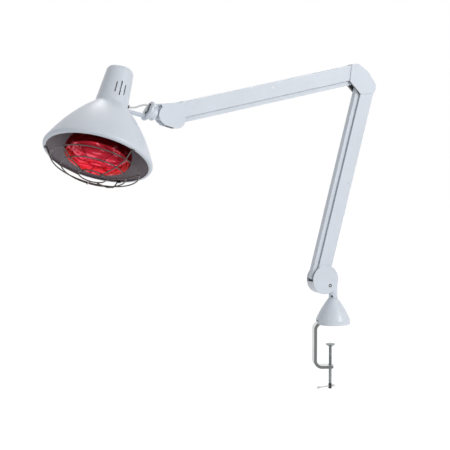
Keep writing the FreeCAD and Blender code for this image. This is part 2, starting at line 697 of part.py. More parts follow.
clamp_frame = turned_by(Vector(0, 0, 1), size("clamp_angle"))
screw_x = -size("screw_offset")
leg_inner = screw_x - size("jaw_reach")
jaw_floor = -size("jaw_height")
socket_outer = size("post_radius") + size("bush_wall") + size("socket_wall")
foot_top = size("strip") + size("socket_foot")
screw_seat = foot_top - size("socket_screw_sunk")


def clamp_bracket():
    """Strip bent to a C: upper jaw, leg and lower arm."""
    body = new_body("clamp_bracket", clamp_frame)
    bend = size("strip_bend")
    inner = bend - size("strip")
    leg_outer = leg_inner - size("strip")
    nose = screw_x + size("jaw_nose")
    corners = [
        (size("upper_nose"), 0),
        (size("upper_nose"), size("strip")),
        (leg_outer, size("strip"), bend),
        (leg_outer, jaw_floor - size("strip"), bend),
        (nose, jaw_floor - size("strip")),
        (nose, jaw_floor),
        (leg_inner, jaw_floor, inner),
        (leg_inner, 0, inner),
    ]
    sketch = new_sketch(body, "XZ_Plane")
    draw(sketch, rounded_path(corners))
    pad(body, sketch, "Sizes.strip_width")
    side = size("strip_width") / 2

    def is_corner(box):
        upright = box.XLength + box.YLength < 1e-3
        return upright and abs(abs(box.YMin) - side) < 1e-3 and box.XMin > screw_x

    round_edges(body, "Sizes.strip_corner", is_corner)
    hole = new_sketch(body, "XY_Plane")
    draw_circle(hole, screw_x, 0, "Sizes.bush_radius")
    pocket(body, hole, "Sizes.jaw_height + 2 * Sizes.strip", False)
    for x in (-size("socket_screw_x"), size("socket_screw_x")):
        bore(body, socket_screw_outline(size("seat_gap"), size("strip")), moved(x))


def socket_screw_outline(gap, top):
    """A countersunk screw, grown by a gap, sunk a little under the table face."""
    head = size("socket_screw_head") + gap
    shank = size("socket_screw") + gap
    sunk = size("slip") - gap
    return [(0, sunk), (head, sunk), (shank, sunk + head - shank), (shank, top), (0, top)]


def socket_screws():
    screws = []
    for x in (-size("socket_screw_x"), size("socket_screw_x")):
        outline = socket_screw_outline(0, screw_seat - size("running_gap"))
        screws.append(turned("socket_screw", outline, clamp_frame * moved(x), False))
    together("socket_screws", screws)


def thread_bush():
    """Threaded bush in the lower arm, flush with both faces."""
    hole = size("screw_radius") + size("pin_clearance")
    top, floor = jaw_floor, jaw_floor - size("strip")
    edge = size("bush_radius")
    corners = [(hole, floor), (edge, floor), (edge, top), (hole, top)]
    turned("thread_bush", corners, clamp_frame * moved(screw_x))


def post_socket():
    """Socket that the arm's post turns in, with a round foot on the upper jaw."""
    inner = socket_outer - size("socket_wall")
    foot = size("socket_flange")
    corners = [
        (0, size("strip")),
        (foot, size("strip")),
        (foot, foot_top, size("soft_edge")),
        (socket_outer, foot_top, size("soft_edge")),
        (socket_outer, size("socket_height")),
        (inner, size("socket_height")),
        (inner, size("socket_floor")),
        (0, size("socket_floor")),
    ]
    body = turned("post_socket", corners, clamp_frame)
    for x in (-size("socket_screw_x"), size("socket_screw_x")):
        hole = size("socket_screw") + size("seat_gap")
        low, top = size("strip"), screw_seat
        bore(body, [(0, low), (hole, low), (hole, top), (0, top)], moved(x))


def socket_bush():
    """Plastic lining of the socket."""
    hole = size("post_radius") + size("pin_clearance")
    outer = socket_outer - size("socket_wall")
    low, top = size("socket_floor"), size("socket_height")
    turned("socket_bush", [(hole, low), (outer, low), (outer, top), (hole, top)], clamp_frame)


def cone_cover():
    """Cover that stands on the table and rests on the socket, notched for the strip."""
    outer = size("cone_radius")
    band = size("cone_band")
    wall = size("cone_wall")
    lip = size("post_radius") + size("slip")
    under = size("socket_height")
    inner_top = socket_outer + size("slip")
    path = straight((inner_top, under), (lip, under), (lip, size("cone_height")))
    path += straight((lip, size("cone_height")), (size("cone_top"), size("cone_height")))
    path.append(bowed_arc((size("cone_top"), size("cone_height")), (outer, band), -size("cone_bulge")))
    path += straight((outer, band), (outer, 0), (outer - wall, 0), (outer - wall, band))
    path.append(bowed_arc((outer - wall, band), (inner_top, under), size("cone_bulge")))
    body = new_body("cone_cover", clamp_frame)
    revolve(body, path)
    side = size("strip_width") / 2 + 2 * size("slip")
    high = size("notch_height")
    notch = new_sketch(body, "YZ_Plane")
    draw(notch, straight((-side, -1), (side, -1), (side, high), (-side, high), (-side, -1)))
    pocket(body, notch, "Sizes.cone_radius + 1", False)


def pressure_pad():
    """Swivelling pad that presses up on the table's underside."""
    top = -size("pad_drop")
    rim = top - size("pad_rim")
    low = top - size("pad_hub")
    seat = size("screw_radius") + size("running_gap")
    floor = low + size("pad_seat") + size("running_gap")
    throat = size("pad_throat")
    corners = [
        (0, top),
        (size("pad_radius"), top, size("fine_edge")),
        (size("pad_radius"), rim),
        (throat, low),
        (seat, low),
        (seat, floor),
        (0, floor),
    ]
    turned("pressure_pad", corners, clamp_frame * moved(screw_x))


screw_top = -size("pad_drop") - size("pad_hub") + size("pad_seat")
screw_low = screw_top - size("screw_length")
tommy_frame = clamp_frame * moved(screw_x) * turned_by(Vector(0, 0, 1), size("tommy_angle"))
tommy_height = screw_low - size("head_length") / 2
tommy_left = -size("tommy_length") / 2 - size("tommy_shift")
tommy_right = size("tommy_length") / 2 - size("tommy_shift")


def clamp_spindle():
    radius, edge = size("screw_radius"), size("small_edge")
    corners = [(0, screw_low), (radius, screw_low), (radius, screw_top, edge), (0, screw_top)]
    turned("clamp_spindle", corners, clamp_frame * moved(screw_x))


def spindle_head():
    """Black end of the clamp screw with the cross hole of the tommy bar."""
    radius = size("screw_radius") + size("dip_sheet")
    low = screw_low - size("head_length")
    soft, fine = size("soft_edge"), size("fine_edge")
    corners = [(0, low), (radius, low, soft), (radius, screw_low, fine), (0, screw_low)]
    body = turned("spindle_head", corners, tommy_frame)
    hole = [(0, tommy_height, "Sizes.tommy_radius + Sizes.pin_clearance")]
    drill(body, "YZ_Plane", hole, "4 * Sizes.screw_radius")


def tommy_bar():
    start = tommy_left + size("knob_length") / 3
    end = tommy_right - size("knob_length") / 3
    bar = doc.addObject("Part::Cylinder", "tommy_bar")
    bar.setExpression("Radius", "Sizes.tommy_radius")
    bar.Height = end - start
    along = axes(Vector(start, 0, tommy_height), Vector(0, 0, -1), Vector(1, 0, 0))
    bar.Placement = tommy_frame * along
    bar.Label = "tommy_bar"
    parts.append(bar)


def tommy_knobs():
    """Knob on each end of the bar, pressed over it."""
    knobs = []
    hole = size("tommy_radius") + size("seat_gap")
    depth = size("knob_length") * 2 / 3
    radius, long = size("knob_radius"), size("knob_length")
    corners = [(hole, 0), (radius, 0, size("small_edge")), (radius, long, size("soft_edge"))]
    corners += [(0, long), (0, depth), (hole, depth)]
    for end, way in ((tommy_left, 1), (tommy_right, -1)):
        inside = Vector(end + way * size("knob_length"), 0, tommy_height)
        place = tommy_frame * axes(inside, Vector(0, 0, 1), Vector(-way, 0, 0))
        knobs.append(turned("tommy_knob", corners, place, False))
    together("tommy_knobs", knobs)


# ---------------------------------------------------------------- joints' shared pieces


def joint_cover(label, frame, outline, side, bosses):
    """Cover plate with round bosses that reach the core; side is -1 in front, 1 behind."""
    body = new_body(label, frame * moved(0, side * cover_middle, 0))
    sketch = new_sketch(body, "XZ_Plane")
    draw(sketch, outline)
    pad(body, sketch, "Sizes.cover")
    outer = side * size("cover") / 2

    def is_outer(box):
        return box.YLength < 1e-3 and abs(box.YMin - outer) < 1e-3

    round_edges(body, "Sizes.cover_edge", is_outer)
    reach = size("cover") / 2 if side > 0 else -size("cover") / 2 - joint_gap
    posts = new_sketch(body, "XZ_Plane", moved(0, 0, reach))
    for x, z in bosses:
        draw_circle(posts, x, z, "Sizes.boss_radius")
    pad(body, posts, "Sizes.joint_half - Sizes.cover - Sizes.core_half", False)
    return body


def joint_core(label, frame, outline):
    body = new_body(label, frame)
    sketch = new_sketch(body, "XZ_Plane")
    draw(sketch, outline)
    pad(body, sketch, CORE)
    return body


def cut_through(body, path, depth=CORE):
    sketch = new_sketch(body, "XZ_Plane")
    draw(sketch, path)
    return pocket(body, sketch, depth)


def closed(*points):
    return straight(*points, points[0])


def joint_pins(prefix, place, link_place):
    """The two pins of one end of an arm."""
    arm = "Sizes.channel_depth - 2 * Sizes.pin_end"
    cross_pin(f"{prefix}_arm_pin", place, "Sizes.arm_pin", arm)
    link = "2 * (Sizes.core_half - Sizes.pin_end)"
    cross_pin(f"{prefix}_link_pin", link_place, "Sizes.link_pin", link)


def back_screw(length, place):
    """A joint screw put in from the back."""
    frame = axes(flat(place.x, place.z) + Vector(0, size("joint_half"), 0), flat(1, 0), Vector(0, 1, 0))
    head, cap = size("joint_screw_head"), size("joint_screw_cap")
    return cap_screw("joint_screw", head, cap, size("joint_screw"), length, frame, False)


through_length = 2 * size("joint_half") - size("cover") / 2
cheek_length = size("joint_half") - size("bar_depth") / 2 - 2 * size("slip")
SCREW_HOLE = "Sizes.joint_screw + Sizes.seat_gap"

# ---------------------------------------------------------------- shoulder

drum_inner = size("drum_radius") - size("drum_wall")
eye = flat(size("eye_x"), size("eye_z"))
low_boss = shoulder + flat(size("boss_x"), size("boss_z"))


def swivel_post():
    post = doc.addObject("Part::Cylinder", "swivel_post")
    post.setExpression("Radius", "Sizes.post_radius")
    post.setExpression("Height", "Sizes.post_top - Sizes.post_bottom")
    post.Placement = moved(0, 0, size("post_bottom"))
    post.Label = "swivel_post"
    parts.append(post)


def shoulder_housing():
    """Drum with an open top, its back cheek and the neck that sits on the post."""
    body = new_body("shoulder_housing")
    centre = (shoulder.x, shoulder.z)
    rim = new_sketch(body, "XZ_Plane")
    close, right = size("drum_close_angle"), size("drum_open_angle") + 360
    draw(rim, sector(*centre, drum_inner, size("drum_radius"), close, right))
    pad(body, rim, "2 * (Sizes.joint_half - Sizes.cover)")
    cheek = new_sketch(body, "XZ_Plane", moved(0, 0, -size("joint_half")))
    draw_circle(cheek, *centre, "Sizes.drum_radius")
    pad(body, cheek, "Sizes.cover", False)
    radius, low, top = size("neck_radius"), size("neck_bottom"), size("neck_top")
    neck = [(0, low), (radius, low, size("soft_edge")), (radius, top, size("neck_round")), (0, top)]
    revolve(body, rounded_path(neck))
    hole = size("post_radius") + size("seat_gap")
    post_top = size("post_top")
    bore(body, [(0, low), (hole, low), (hole, post_top), (0, post_top)])
    lock = new_sketch(body, "YZ_Plane", turned_by(Vector(0, 1, 0), size("lock_angle")))
    draw_circle(lock, 0, size("lock_height"), "Sizes.lock_radius + Sizes.seat_gap")
    pocket(body, lock, "Sizes.neck_radius + 1", False)


def shoulder_cover():
    """Front disc of the drum, held by one screw in a sunk eye."""
    outline = disc_path(0, 0, size("drum_radius"))
    places = [(p.x - shoulder.x, p.z - shoulder.z) for p in (eye, low_boss)]
    frame = Placement(shoulder, Rotation())
    body = joint_cover("shoulder_cover", frame, outline, -1, places)
    x, z = places[0]
    drill(body, "XZ_Plane", [(x, z, SCREW_HOLE)], "4 * Sizes.joint_half")
    drill(body, "XZ_Plane", [(x, z, "Sizes.eye_radius")], "Sizes.cover")


def shoulder_core():
    """Black inner block that holds the pins of the arm and its parallel bar."""
    outline = disc_path(shoulder.x, shoulder.z, drum_inner - size("slip"))
    body = joint_core("shoulder_core", Placement(), outline)
    free = size("web_swing")
    pivot = shoulder_arm
    cut_through(body, sector(pivot.x, pivot.z, free, 4 * free, -5, 128))
    neck = new_sketch(body, "XY_Plane")
    draw_circle(neck, 0, 0, "Sizes.neck_radius + Sizes.slip")
    pocket(body, neck, "Sizes.neck_top + Sizes.slip", False, True)
    bar = size("bar_face") / 2 + size("slip")
    link = shoulder_link
    floor = link.z - bar
    above = link.z + size("stop_rise")
    stop = -size("bar_stop_angle")
    leave = polar(link.x, link.z, bar, stop)
    end = leave + polar(0, 0, (above - leave.y) / math.cos(math.radians(stop)), 90 + stop)
    open_top = above + 2 * free
    slot = straight((link.x - 3 * bar, floor), (link.x, floor))
    slot.append(arc_about(link.x, link.z, bar, -90, stop))
    slot += straight(
        leave,
        end,
        (pivot.x + 2 * free, above),
        (pivot.x + 2 * free, open_top),
        (link.x - 3 * bar, open_top),
        (link.x - 3 * bar, floor),
    )
    cut_through(body, slot, BAR_SLOT)
    stud = shoulder_stud_place()
    holes = [(pivot.x, pivot.z, ARM_PIN), (link.x, link.z, LINK_PIN)]
    holes.append((stud.x, stud.z, "Sizes.stud_radius + Sizes.seat_gap"))
    drill(body, "XZ_Plane", holes, CORE)
    drill(body, "XZ_Plane", [(eye.x, eye.z, SCREW_HOLE)], CORE)


def shoulder_stud_place():
    return shoulder_arm + lower_along * size("stud_along") + lower_out * size("stud_out")


def shoulder_small_pieces():
    joint_pins("shoulder", shoulder_arm, shoulder_link)
    stud = "2 * (Sizes.core_half - Sizes.pin_end)"
    cross_pin("shoulder_spring_stud", shoulder_stud_place(), "Sizes.stud_radius", stud)
    seat = Vector(eye.x, size("cover") - size("joint_half"), eye.z)
    frame = axes(seat, flat(1, 0), Vector(0, -1, 0))
    sizes = (size("eye_head"), size("joint_screw_cap"), size("joint_screw"), size("eye_screw_length"))
    cap_screw("shoulder_cover_screw", *sizes, frame)
    inner, outer = size("post_radius") + size("running_gap"), size("neck_radius") + size("lock_proud")
    radius, drive = size("lock_radius"), size("lock_drive")
    floor = outer - size("lock_drive_depth")
    corners = [(0, inner), (radius, inner), (radius, outer, size("fine_edge")), (drive, outer)]
    corners += [(drive, floor), (0, floor)]
    way = polar(0, 0, -1, size("lock_angle"))
    turned("lock_screw", corners, axes(Vector(0, 0, size("lock_height")), Vector(0, 0, 1), way))


# ---------------------------------------------------------------- arms


def channel(label, frame):
    """Arm bent from sheet, open on the side of its parallel bar; X runs along it."""
    length = size("arm_length")
    half = size("channel_face") / 2
    inner = half - size("sheet_steel")
    start = size("web_start")
    beyond = half + 5
    body = new_body(label, frame)
    outline = new_sketch(body, "XZ_Plane")
    draw(outline, stadium(0, 0, length, 0, half))
    pad(body, outline, "Sizes.channel_depth")
    edge = size("channel_depth") / 2

    def is_long(box):
        outside = abs(abs(box.YMin) - edge) < 1e-3 and box.YLength < 1e-3
        return outside and box.XLength > length - 1 and box.ZMin > half - 1e-3

    round_edges(body, "Sizes.long_edge", is_long)
    hollow = closed(
        (-beyond, beyond),
        (start, beyond),
        (start, inner),
        (length - start, inner),
        (length - start, beyond),
        (length + beyond, beyond),
        (length + beyond, -beyond),
        (-beyond, -beyond),
    )
    cut_through(body, hollow, "Sizes.channel_depth - 2 * Sizes.sheet_steel")
    holes = [(0, 0, ARM_PIN), (length, 0, ARM_PIN)]
    holes.append((size("spring_reach"), size("stud_out"), "Sizes.anchor_radius + Sizes.seat_gap"))
    drill(body, "XZ_Plane", holes, "2 * Sizes.channel_depth")


def parallel_bar(label, frame):
    """Narrow channel beside the arm, open towards it."""
    length = size("arm_length")
    half = size("bar_face") / 2
    inner = half - size("bar_wall")
    body = new_body(label, frame)
    outline = new_sketch(body, "XZ_Plane")
    draw(outline, stadium(0, 0, length, 0, half))
    pad(body, outline, "Sizes.bar_depth")
    corners = [(-inner, -inner, inner), (length + inner, -inner, inner)]
    corners += [(length + inner, 2 * half), (-inner, 2 * half)]
    cut_through(body, rounded_path(corners), "Sizes.bar_depth - 2 * Sizes.bar_wall")
    drill(body, "XZ_Plane", [(0, 0, LINK_PIN)], "2 * Sizes.bar_depth")
    far = [(length, 0, "Sizes.link_pin + Sizes.open_clearance")]
    drill(body, "XZ_Plane", far, "2 * Sizes.bar_depth")


def arm_spring(prefix, frame):
    """Close-wound spring with coned ends and an eye at each end."""
    wire = size("spring_wire") / 2
    eye_middle = size("stud_radius") + wire + size("running_gap")
    start, end = size("coil_start"), size("spring_reach") - size("coil_end")
    first = size("stud_along") + eye_middle
    last = size("spring_reach") - eye_middle - size("eye_play")
    cone = size("coil_cone")
    radius = size("spring_radius")
    shank = wire - size("seat_gap")
    outline = closed(
        (first, 0),
        (first, shank),
        (start - cone, shank),
        (start, radius),
        (end, radius),
        (end + cone, shank),
        (last, shank),
        (last, 0),
    )
    middle = frame * moved(0, 0, size("stud_out"))
    coil = new_body(f"{prefix}_coil", middle, False)
    revolve(coil, outline, "H_Axis")
    eyes = []
    for number, x in enumerate((size("stud_along"), size("spring_reach"))):
        ring = doc.addObject("Part::Torus", f"{prefix}_eye")
        ring.Radius1 = eye_middle + size("eye_play") * number
        ring.setExpression("Radius2", "Sizes.spring_wire / 2")
        ring.Placement = middle * moved(x) * turned_by(Vector(1, 0, 0), 90)
        eyes.append(ring)
    spring = doc.addObject("Part::MultiFuse", f"{prefix}_spring")
    spring.Shapes = [coil] + eyes
    spring.Label = f"{prefix}_spring"
    parts.append(spring)
    place = frame.multVec(flat(size("spring_reach"), size("stud_out")))
    cross_pin(f"{prefix}_spring_anchor", place, "Sizes.anchor_radius", "Sizes.channel_depth")


# ---------------------------------------------------------------- elbow

elbow_screw_places = [flat(0, size("elbow_screw_high")), flat(0, size("elbow_screw_low"))]
elbow_bosses = [(p.x, p.z) for p in elbow_screw_places]


def elbow_outline(inset):
    low = (size("elbow_low_half"), -size("elbow_low"), size("elbow_low_corner"))
    end = (size("elbow_end"), size("elbow_end_rise"), size("elbow_end_corner"))
    back = (size("elbow_back"), size("elbow_back_rise"), size("elbow_back_corner"))
    top = (0, size("elbow_top"), size("elbow_top_corner"))
    mirrored = [(-x, y, radius) for x, y, radius in (back, end, low)]
    return rounded_path(drawn_in([low, end, back, top, *mirrored], inset))


def elbow_covers():
    front = joint_cover("elbow_cover_front", elbow_frame, elbow_outline(0), -1, elbow_bosses)
    sketch = new_sketch(front, "XZ_Plane", moved(0, 0, -joint_gap - size("cover") / 2))
    draw_circle(sketch, *elbow_bosses[0], SCREW_HOLE)
    pocket(front, sketch, "Sizes.joint_half - Sizes.core_half - Sizes.cover / 2", False, True)
    back = joint_cover("elbow_cover_back", elbow_frame, elbow_outline(0), 1, elbow_bosses)
    drill(back, "XZ_Plane", [(x, z, SCREW_HOLE) for x, z in elbow_bosses], "2 * Sizes.joint_half")


def elbow_core():
    """Black inner block of the elbow, slotted for both parallel bars."""
    body = joint_core("elbow_core", elbow_frame, elbow_outline(size("core_inset")))
    spread, lift = size("elbow_spread"), size("elbow_rise")
    free = size("web_swing")
    room = size("elbow_clear_angle")
    cut_through(body, sector(spread, lift, free, 3 * free, -room, 0))
    cut_through(body, sector(-spread, lift, free, 3 * free, 180, 180 + room))
    roof = lift - size("arm_pin") - size("slip") + size("running_gap")
    rise, outside = size("elbow_slot_rise"), 2 * spread
    half = [
        (size("elbow_slot_half"), roof),
        (size("elbow_slot_shoulder"), -size("elbow_slot_drop")),
        (size("elbow_slot_mouth"), rise),
        (outside, rise),
        (outside, -2 * size("elbow_low")),
    ]
    mirror = [(-x, z) for x, z in reversed(half)]
    cut_through(body, closed(*half, *mirror), BAR_SLOT)
    link = size("link_offset") * math.sqrt(0.5)
    stud = elbow_frame.inverse().multVec(elbow_stud_place())
    holes = [(spread, lift, ARM_PIN), (-spread, lift, ARM_PIN)]
    holes += [(spread - link, lift - link, LINK_PIN), (link - spread, lift - link, LINK_PIN)]
    holes.append((stud.x, stud.z, "Sizes.stud_radius + Sizes.seat_gap"))
    holes += [(x, z, SCREW_HOLE) for x, z in elbow_bosses]
    drill(body, "XZ_Plane", holes, CORE)


def elbow_stud_place():
    return elbow_fore_arm + fore_along * size("stud_along") + fore_out * size("stud_out")


def elbow_small_pieces():
    arm = "Sizes.channel_depth - 2 * Sizes.pin_end"
    link = "2 * (Sizes.core_half - Sizes.pin_end)"
    for name, places, radius, length in (
        ("elbow_arm_pins", (elbow_lower_arm, elbow_fore_arm), "Sizes.arm_pin", arm),
        ("elbow_link_pins", (elbow_lower_link, elbow_fore_link), "Sizes.link_pin", link),
    ):
        together(name, [cross_pin(f"{name}_pin", p, radius, length, False) for p in places])
    cross_pin("elbow_spring_stud", elbow_stud_place(), "Sizes.stud_radius", link)
    places = [elbow_frame.multVec(p) for p in elbow_screw_places]
    lengths = (through_length, cheek_length)
    together("elbow_screws", [back_screw(n, p) for n, p in zip(lengths, places)])


# ---------------------------------------------------------------- wrist

wrist_screw_places = [
    flat(size("wrist_screw_high_x"), size("wrist_screw_high_z")),
    flat(size("wrist_screw_low_x"), size("wrist_screw_low_z")),
]
wrist_bosses = [(p.x, p.z) for p in wrist_screw_places]


def wrist_outline(inset):
    left, right = -size("wrist_left"), size("wrist_right")
    top, slope = size("wrist_top"), size("wrist_slope")
    corners = [
        (left, top - slope, size("wrist_high_corner")),
        (left, -size("wrist_low_left"), size("wrist_left_corner")),
        (right, -size("wrist_low_right"), size("wrist_low_corner")),
        (right, top + slope, size("wrist_top_corner")),
    ]
    return rounded_path(drawn_in(corners, inset))


def wrist_covers():
    x, z, swing = size("tilt_x"), size("tilt_z"), size("cover_swing")
    high, low = size("cover_swing_high_angle"), size("cover_swing_low_angle")
    front = joint_cover("wrist_cover_front", wrist_frame, wrist_outline(0), -1, wrist_bosses)
    sketch = new_sketch(front, "XZ_Plane", moved(0, 0, -joint_gap - size("cover") / 2))
    for screw_x, screw_z in wrist_bosses:
        draw_circle(sketch, screw_x, screw_z, SCREW_HOLE)
    pocket(front, sketch, "Sizes.joint_half - Sizes.core_half - Sizes.cover / 2", False, True)
    back = joint_cover("wrist_cover_back", wrist_frame, wrist_outline(0), 1, wrist_bosses)
    drill(back, "XZ_Plane", [(x, z, SCREW_HOLE) for x, z in wrist_bosses], "2 * Sizes.joint_half")
    for body in (front, back):
        cut_through(body, sector(x, z, swing, 3 * swing, high, low), "2 * Sizes.cover")


def wrist_core():
    """Black inner block of the wrist: fork for the tongue, slot for the bar."""
    body = joint_core("wrist_core", wrist_frame, wrist_outline(size("core_inset")))
    x, z = size("tilt_x"), size("tilt_z")
    high, low = size("core_swing_high_angle"), size("core_swing_low_angle")
    cut_through(body, sector(x, z, size("cheek_radius"), 4 * size("cheek_radius"), high, low))
    bar = size("bar_face") / 2 + size("slip")
    link = size("link_offset")
    outside = 2 * size("wrist_low_right")
    back = -size("wrist_slot_back")
    roof_x, roof_z = size("wrist_slot_roof_x"), size("wrist_slot_roof_z")
    far = outside * math.tan(math.radians(size("wrist_slot_angle")))
    slot = closed(
        (back, -outside),
        (back, bar - link),
        (roof_x, roof_z),
        (roof_x + outside, roof_z + far),
        (roof_x + outside, -outside),
    )
    cut_through(body, slot, BAR_SLOT)
    radius = size("tongue_radius") + size("slip")
    high, low = size("fork_high_angle"), size("fork_low_angle")
    start, end = polar(x, z, radius, high), polar(x, z, radius, low)
    fork = [arc_about(x, z, radius, high, low)]
    below = end + polar(0, 0, 60, low - 90)
    above = start + polar(0, 0, 60, high + 90)
    fork += straight(end, below, (x - 60, below.y), (x - 60, above.y), above, start)
    cut_through(body, fork, "2 * (Sizes.tongue_half + Sizes.washer_sheet + Sizes.running_gap)")
    holes = [(0, 0, ARM_PIN), (0, -link, LINK_PIN)]
    holes.append((x, z, "Sizes.tilt_radius + Sizes.pin_clearance"))
    holes += [(a, b, SCREW_HOLE) for a, b in wrist_bosses]
    drill(body, "XZ_Plane", holes, CORE)


def wrist_small_pieces():
    joint_pins("wrist", wrist_arm, wrist_link)
    screws = [back_screw(through_length, wrist_arm + p) for p in wrist_screw_places]
    together("wrist_screws", screws)
    front = Vector(tilt.x, -size("core_half"), tilt.z)
    frame = axes(front, flat(1, 0), Vector(0, -1, 0))
    length = 2 * size("core_half") + size("tilt_cap")
    cap_screw("tilt_bolt", size("tilt_head"), size("tilt_cap"), size("tilt_radius"), length, frame)
    nut = new_body("tilt_nut", Placement(Vector(tilt.x, size("core_half"), tilt.z), Rotation()))
    sketch = new_sketch(nut, "XZ_Plane", moved(0, 0, -size("tilt_cap")))
    draw(sketch, hexagon(size("tilt_head")))
    draw_circle(sketch, 0, 0, "Sizes.tilt_radius + Sizes.seat_gap")
    pad(nut, sketch, "Sizes.tilt_cap", False)


def hexagon(radius):
    return closed(*[tuple(polar(0, 0, radius, 60 * i))[:2] for i in range(6)])


# ---------------------------------------------------------------- knuckle


def knuckle():
    """Tongue of the tilt joint with the bell of the turning joint on its end."""
    body = new_body("knuckle")
    tongue = new_sketch(body, "XZ_Plane")
    angle = 180 - size("tongue_angle")
    draw(tongue, stadium(tilt.x, tilt.z, size("tongue_reach"), angle, size("tongue_radius")))
    pad(body, tongue, "2 * Sizes.tongue_half")
    low = -size("plate_sheet") / 2 - size("running_gap")
    rim, root = size("bell_radius"), size("bell_waist")
    back = low - size("bell_depth")
    bell = [
        (0, low),
        (rim, low),
        (rim, low - size("bell_rim")),
        (root, low - size("bell_flare"), size("bell_curve")),
        (root, back, size("bell_back")),
        (0, back),
    ]
    about = Placement(Vector(face.x, face.z, 0), Rotation(Vector(0, 0, 1), 90 - size("turn_angle")))
    revolve(body, rounded_path(bell), "V_Axis", about)
    hole = size("turn_bolt") + size("pin_clearance")
    floor = low - size("turn_depth") - 1
    bore(body, [(0, low), (hole, low), (hole, floor), (0, floor)], about)
    bolt = [(tilt.x, tilt.z, "Sizes.tilt_radius + Sizes.pin_clearance")]
    drill(body, "XZ_Plane", bolt, "4 * Sizes.tongue_half")


def friction_washers():
    washers = []
    for side in (-1, 1):
        middle = side * (size("tongue_half") + size("washer_sheet") / 2)
        body = new_body("friction_washer", Placement(Vector(tilt.x, middle, tilt.z), Rotation()), False)
        sketch = new_sketch(body, "XZ_Plane")
        draw_circle(sketch, 0, 0, "Sizes.tongue_radius - 3")
        draw_circle(sketch, 0, 0, "Sizes.tilt_radius + Sizes.pin_clearance")
        pad(body, sketch, "Sizes.washer_sheet")
        washers.append(body)
    together("friction_washers", washers)


# ---------------------------------------------------------------- head

turn_frame = axes(face, Vector(0, 1, 0), turn_axis)
plate_face = size("plate_sheet") / 2


def head_stem():
    """Turning plate with the stem tube welded on its front."""
    disc = turned("turning_plate", plate_outline(), turn_frame, False)
    hole = [(0, -size("flex_rise"), "Sizes.grommet_radius - 1 + Sizes.seat_gap")]
    drill(disc, "XY_Plane", hole, "2 * Sizes.plate_sheet")
    root, tip = stem_root + head_x * size("stem_root"), shade_axis + head_x * size("stem_inside")
    outer = rod("stem_outer", root, tip, "Sizes.stem_radius")
    inner = rod("stem_inner", root, tip, "Sizes.stem_bore")
    behind = doc.addObject("Part::Cylinder", "behind_plate")
    behind.setExpression("Radius", "Sizes.bell_radius")
    behind.Height = size("bell_depth")
    behind.Placement = turn_frame * moved(0, 0, -plate_face - size("bell_depth"))
    tube = doc.addObject("Part::Cut", "stem_tube")
    tube.Base = outer
    tube.Tool = inner
    trimmed = doc.addObject("Part::Cut", "stem_trimmed")
    trimmed.Base = tube
    trimmed.Tool = behind
    stem = doc.addObject("Part::Fuse", "head_stem")
    stem.Base = disc
    stem.Tool = trimmed
    stem.Label = "head_stem"
    parts.append(stem)


def plate_outline():
    hole = size("turn_bolt") + size("seat_gap")
    rim, edge = size("bell_radius"), size("small_edge")
    return [(hole, -plate_face), (rim, -plate_face), (rim, plate_face, edge), (hole, plate_face)]


def turning_bolt():
    """Bolt that the head turns about, in a black washer."""
    frame = turn_frame * moved(0, 0, plate_face)
    length = size("turn_depth") + size("plate_sheet")
    sizes = (size("turn_head"), size("turn_cap"), size("turn_bolt"), length)
    cap_screw("turn_bolt", *sizes, frame)
    inner, outer = size("ring_hole"), size("ring_radius")
    high = size("ring_sheet")
    ring = [(inner, 0), (outer, 0), (outer, high, size("fine_edge")), (inner, high)]
    turned("turn_washer", ring, frame)


mouth_opening = size("shade_radius") - size("lip_width")
bell_run = math.hypot(size("shade_radius") - size("bell_top"), size("bell_height"))
wall_lean = math.asin((size("shade_radius") - size("bell_top")) / bell_run)
wall_lean -= 4 * size("bell_bow") / bell_run


def bell_path(inset):
    """Side of the shade from its lip up to the middle of its crown, moved inwards."""
    mouth, top = size("shade_radius") - inset * (1 + math.tan(wall_lean)), size("bell_height")
    waist, end = size("bell_top") - inset, size("neck_end") - inset
    height, crown = size("shade_height") - inset, size("crown") - inset
    slope = math.atan2(waist - end, height - top)
    corner = (math.pi / 2 - slope) / 2
    reach = crown / math.tan(math.pi / 4 + slope / 2)
    neck = Vector(end, height, 0)
    down = Vector(math.sin(slope), -math.cos(slope), 0)
    start = neck + down * reach
    finish = neck - Vector(reach, 0, 0)
    centre = finish - Vector(0, crown, 0)
    middle = centre + Vector(math.cos(corner), math.sin(corner), 0) * crown
    path = [bowed_arc((mouth, inset), (waist, top), size("bell_bow"))]
    path.append(Part.LineSegment(Vector(waist, top, 0), start))
    path.append(Part.Arc(start, middle, finish))
    path.append(Part.LineSegment(finish, Vector(0, height, 0)))
    return path


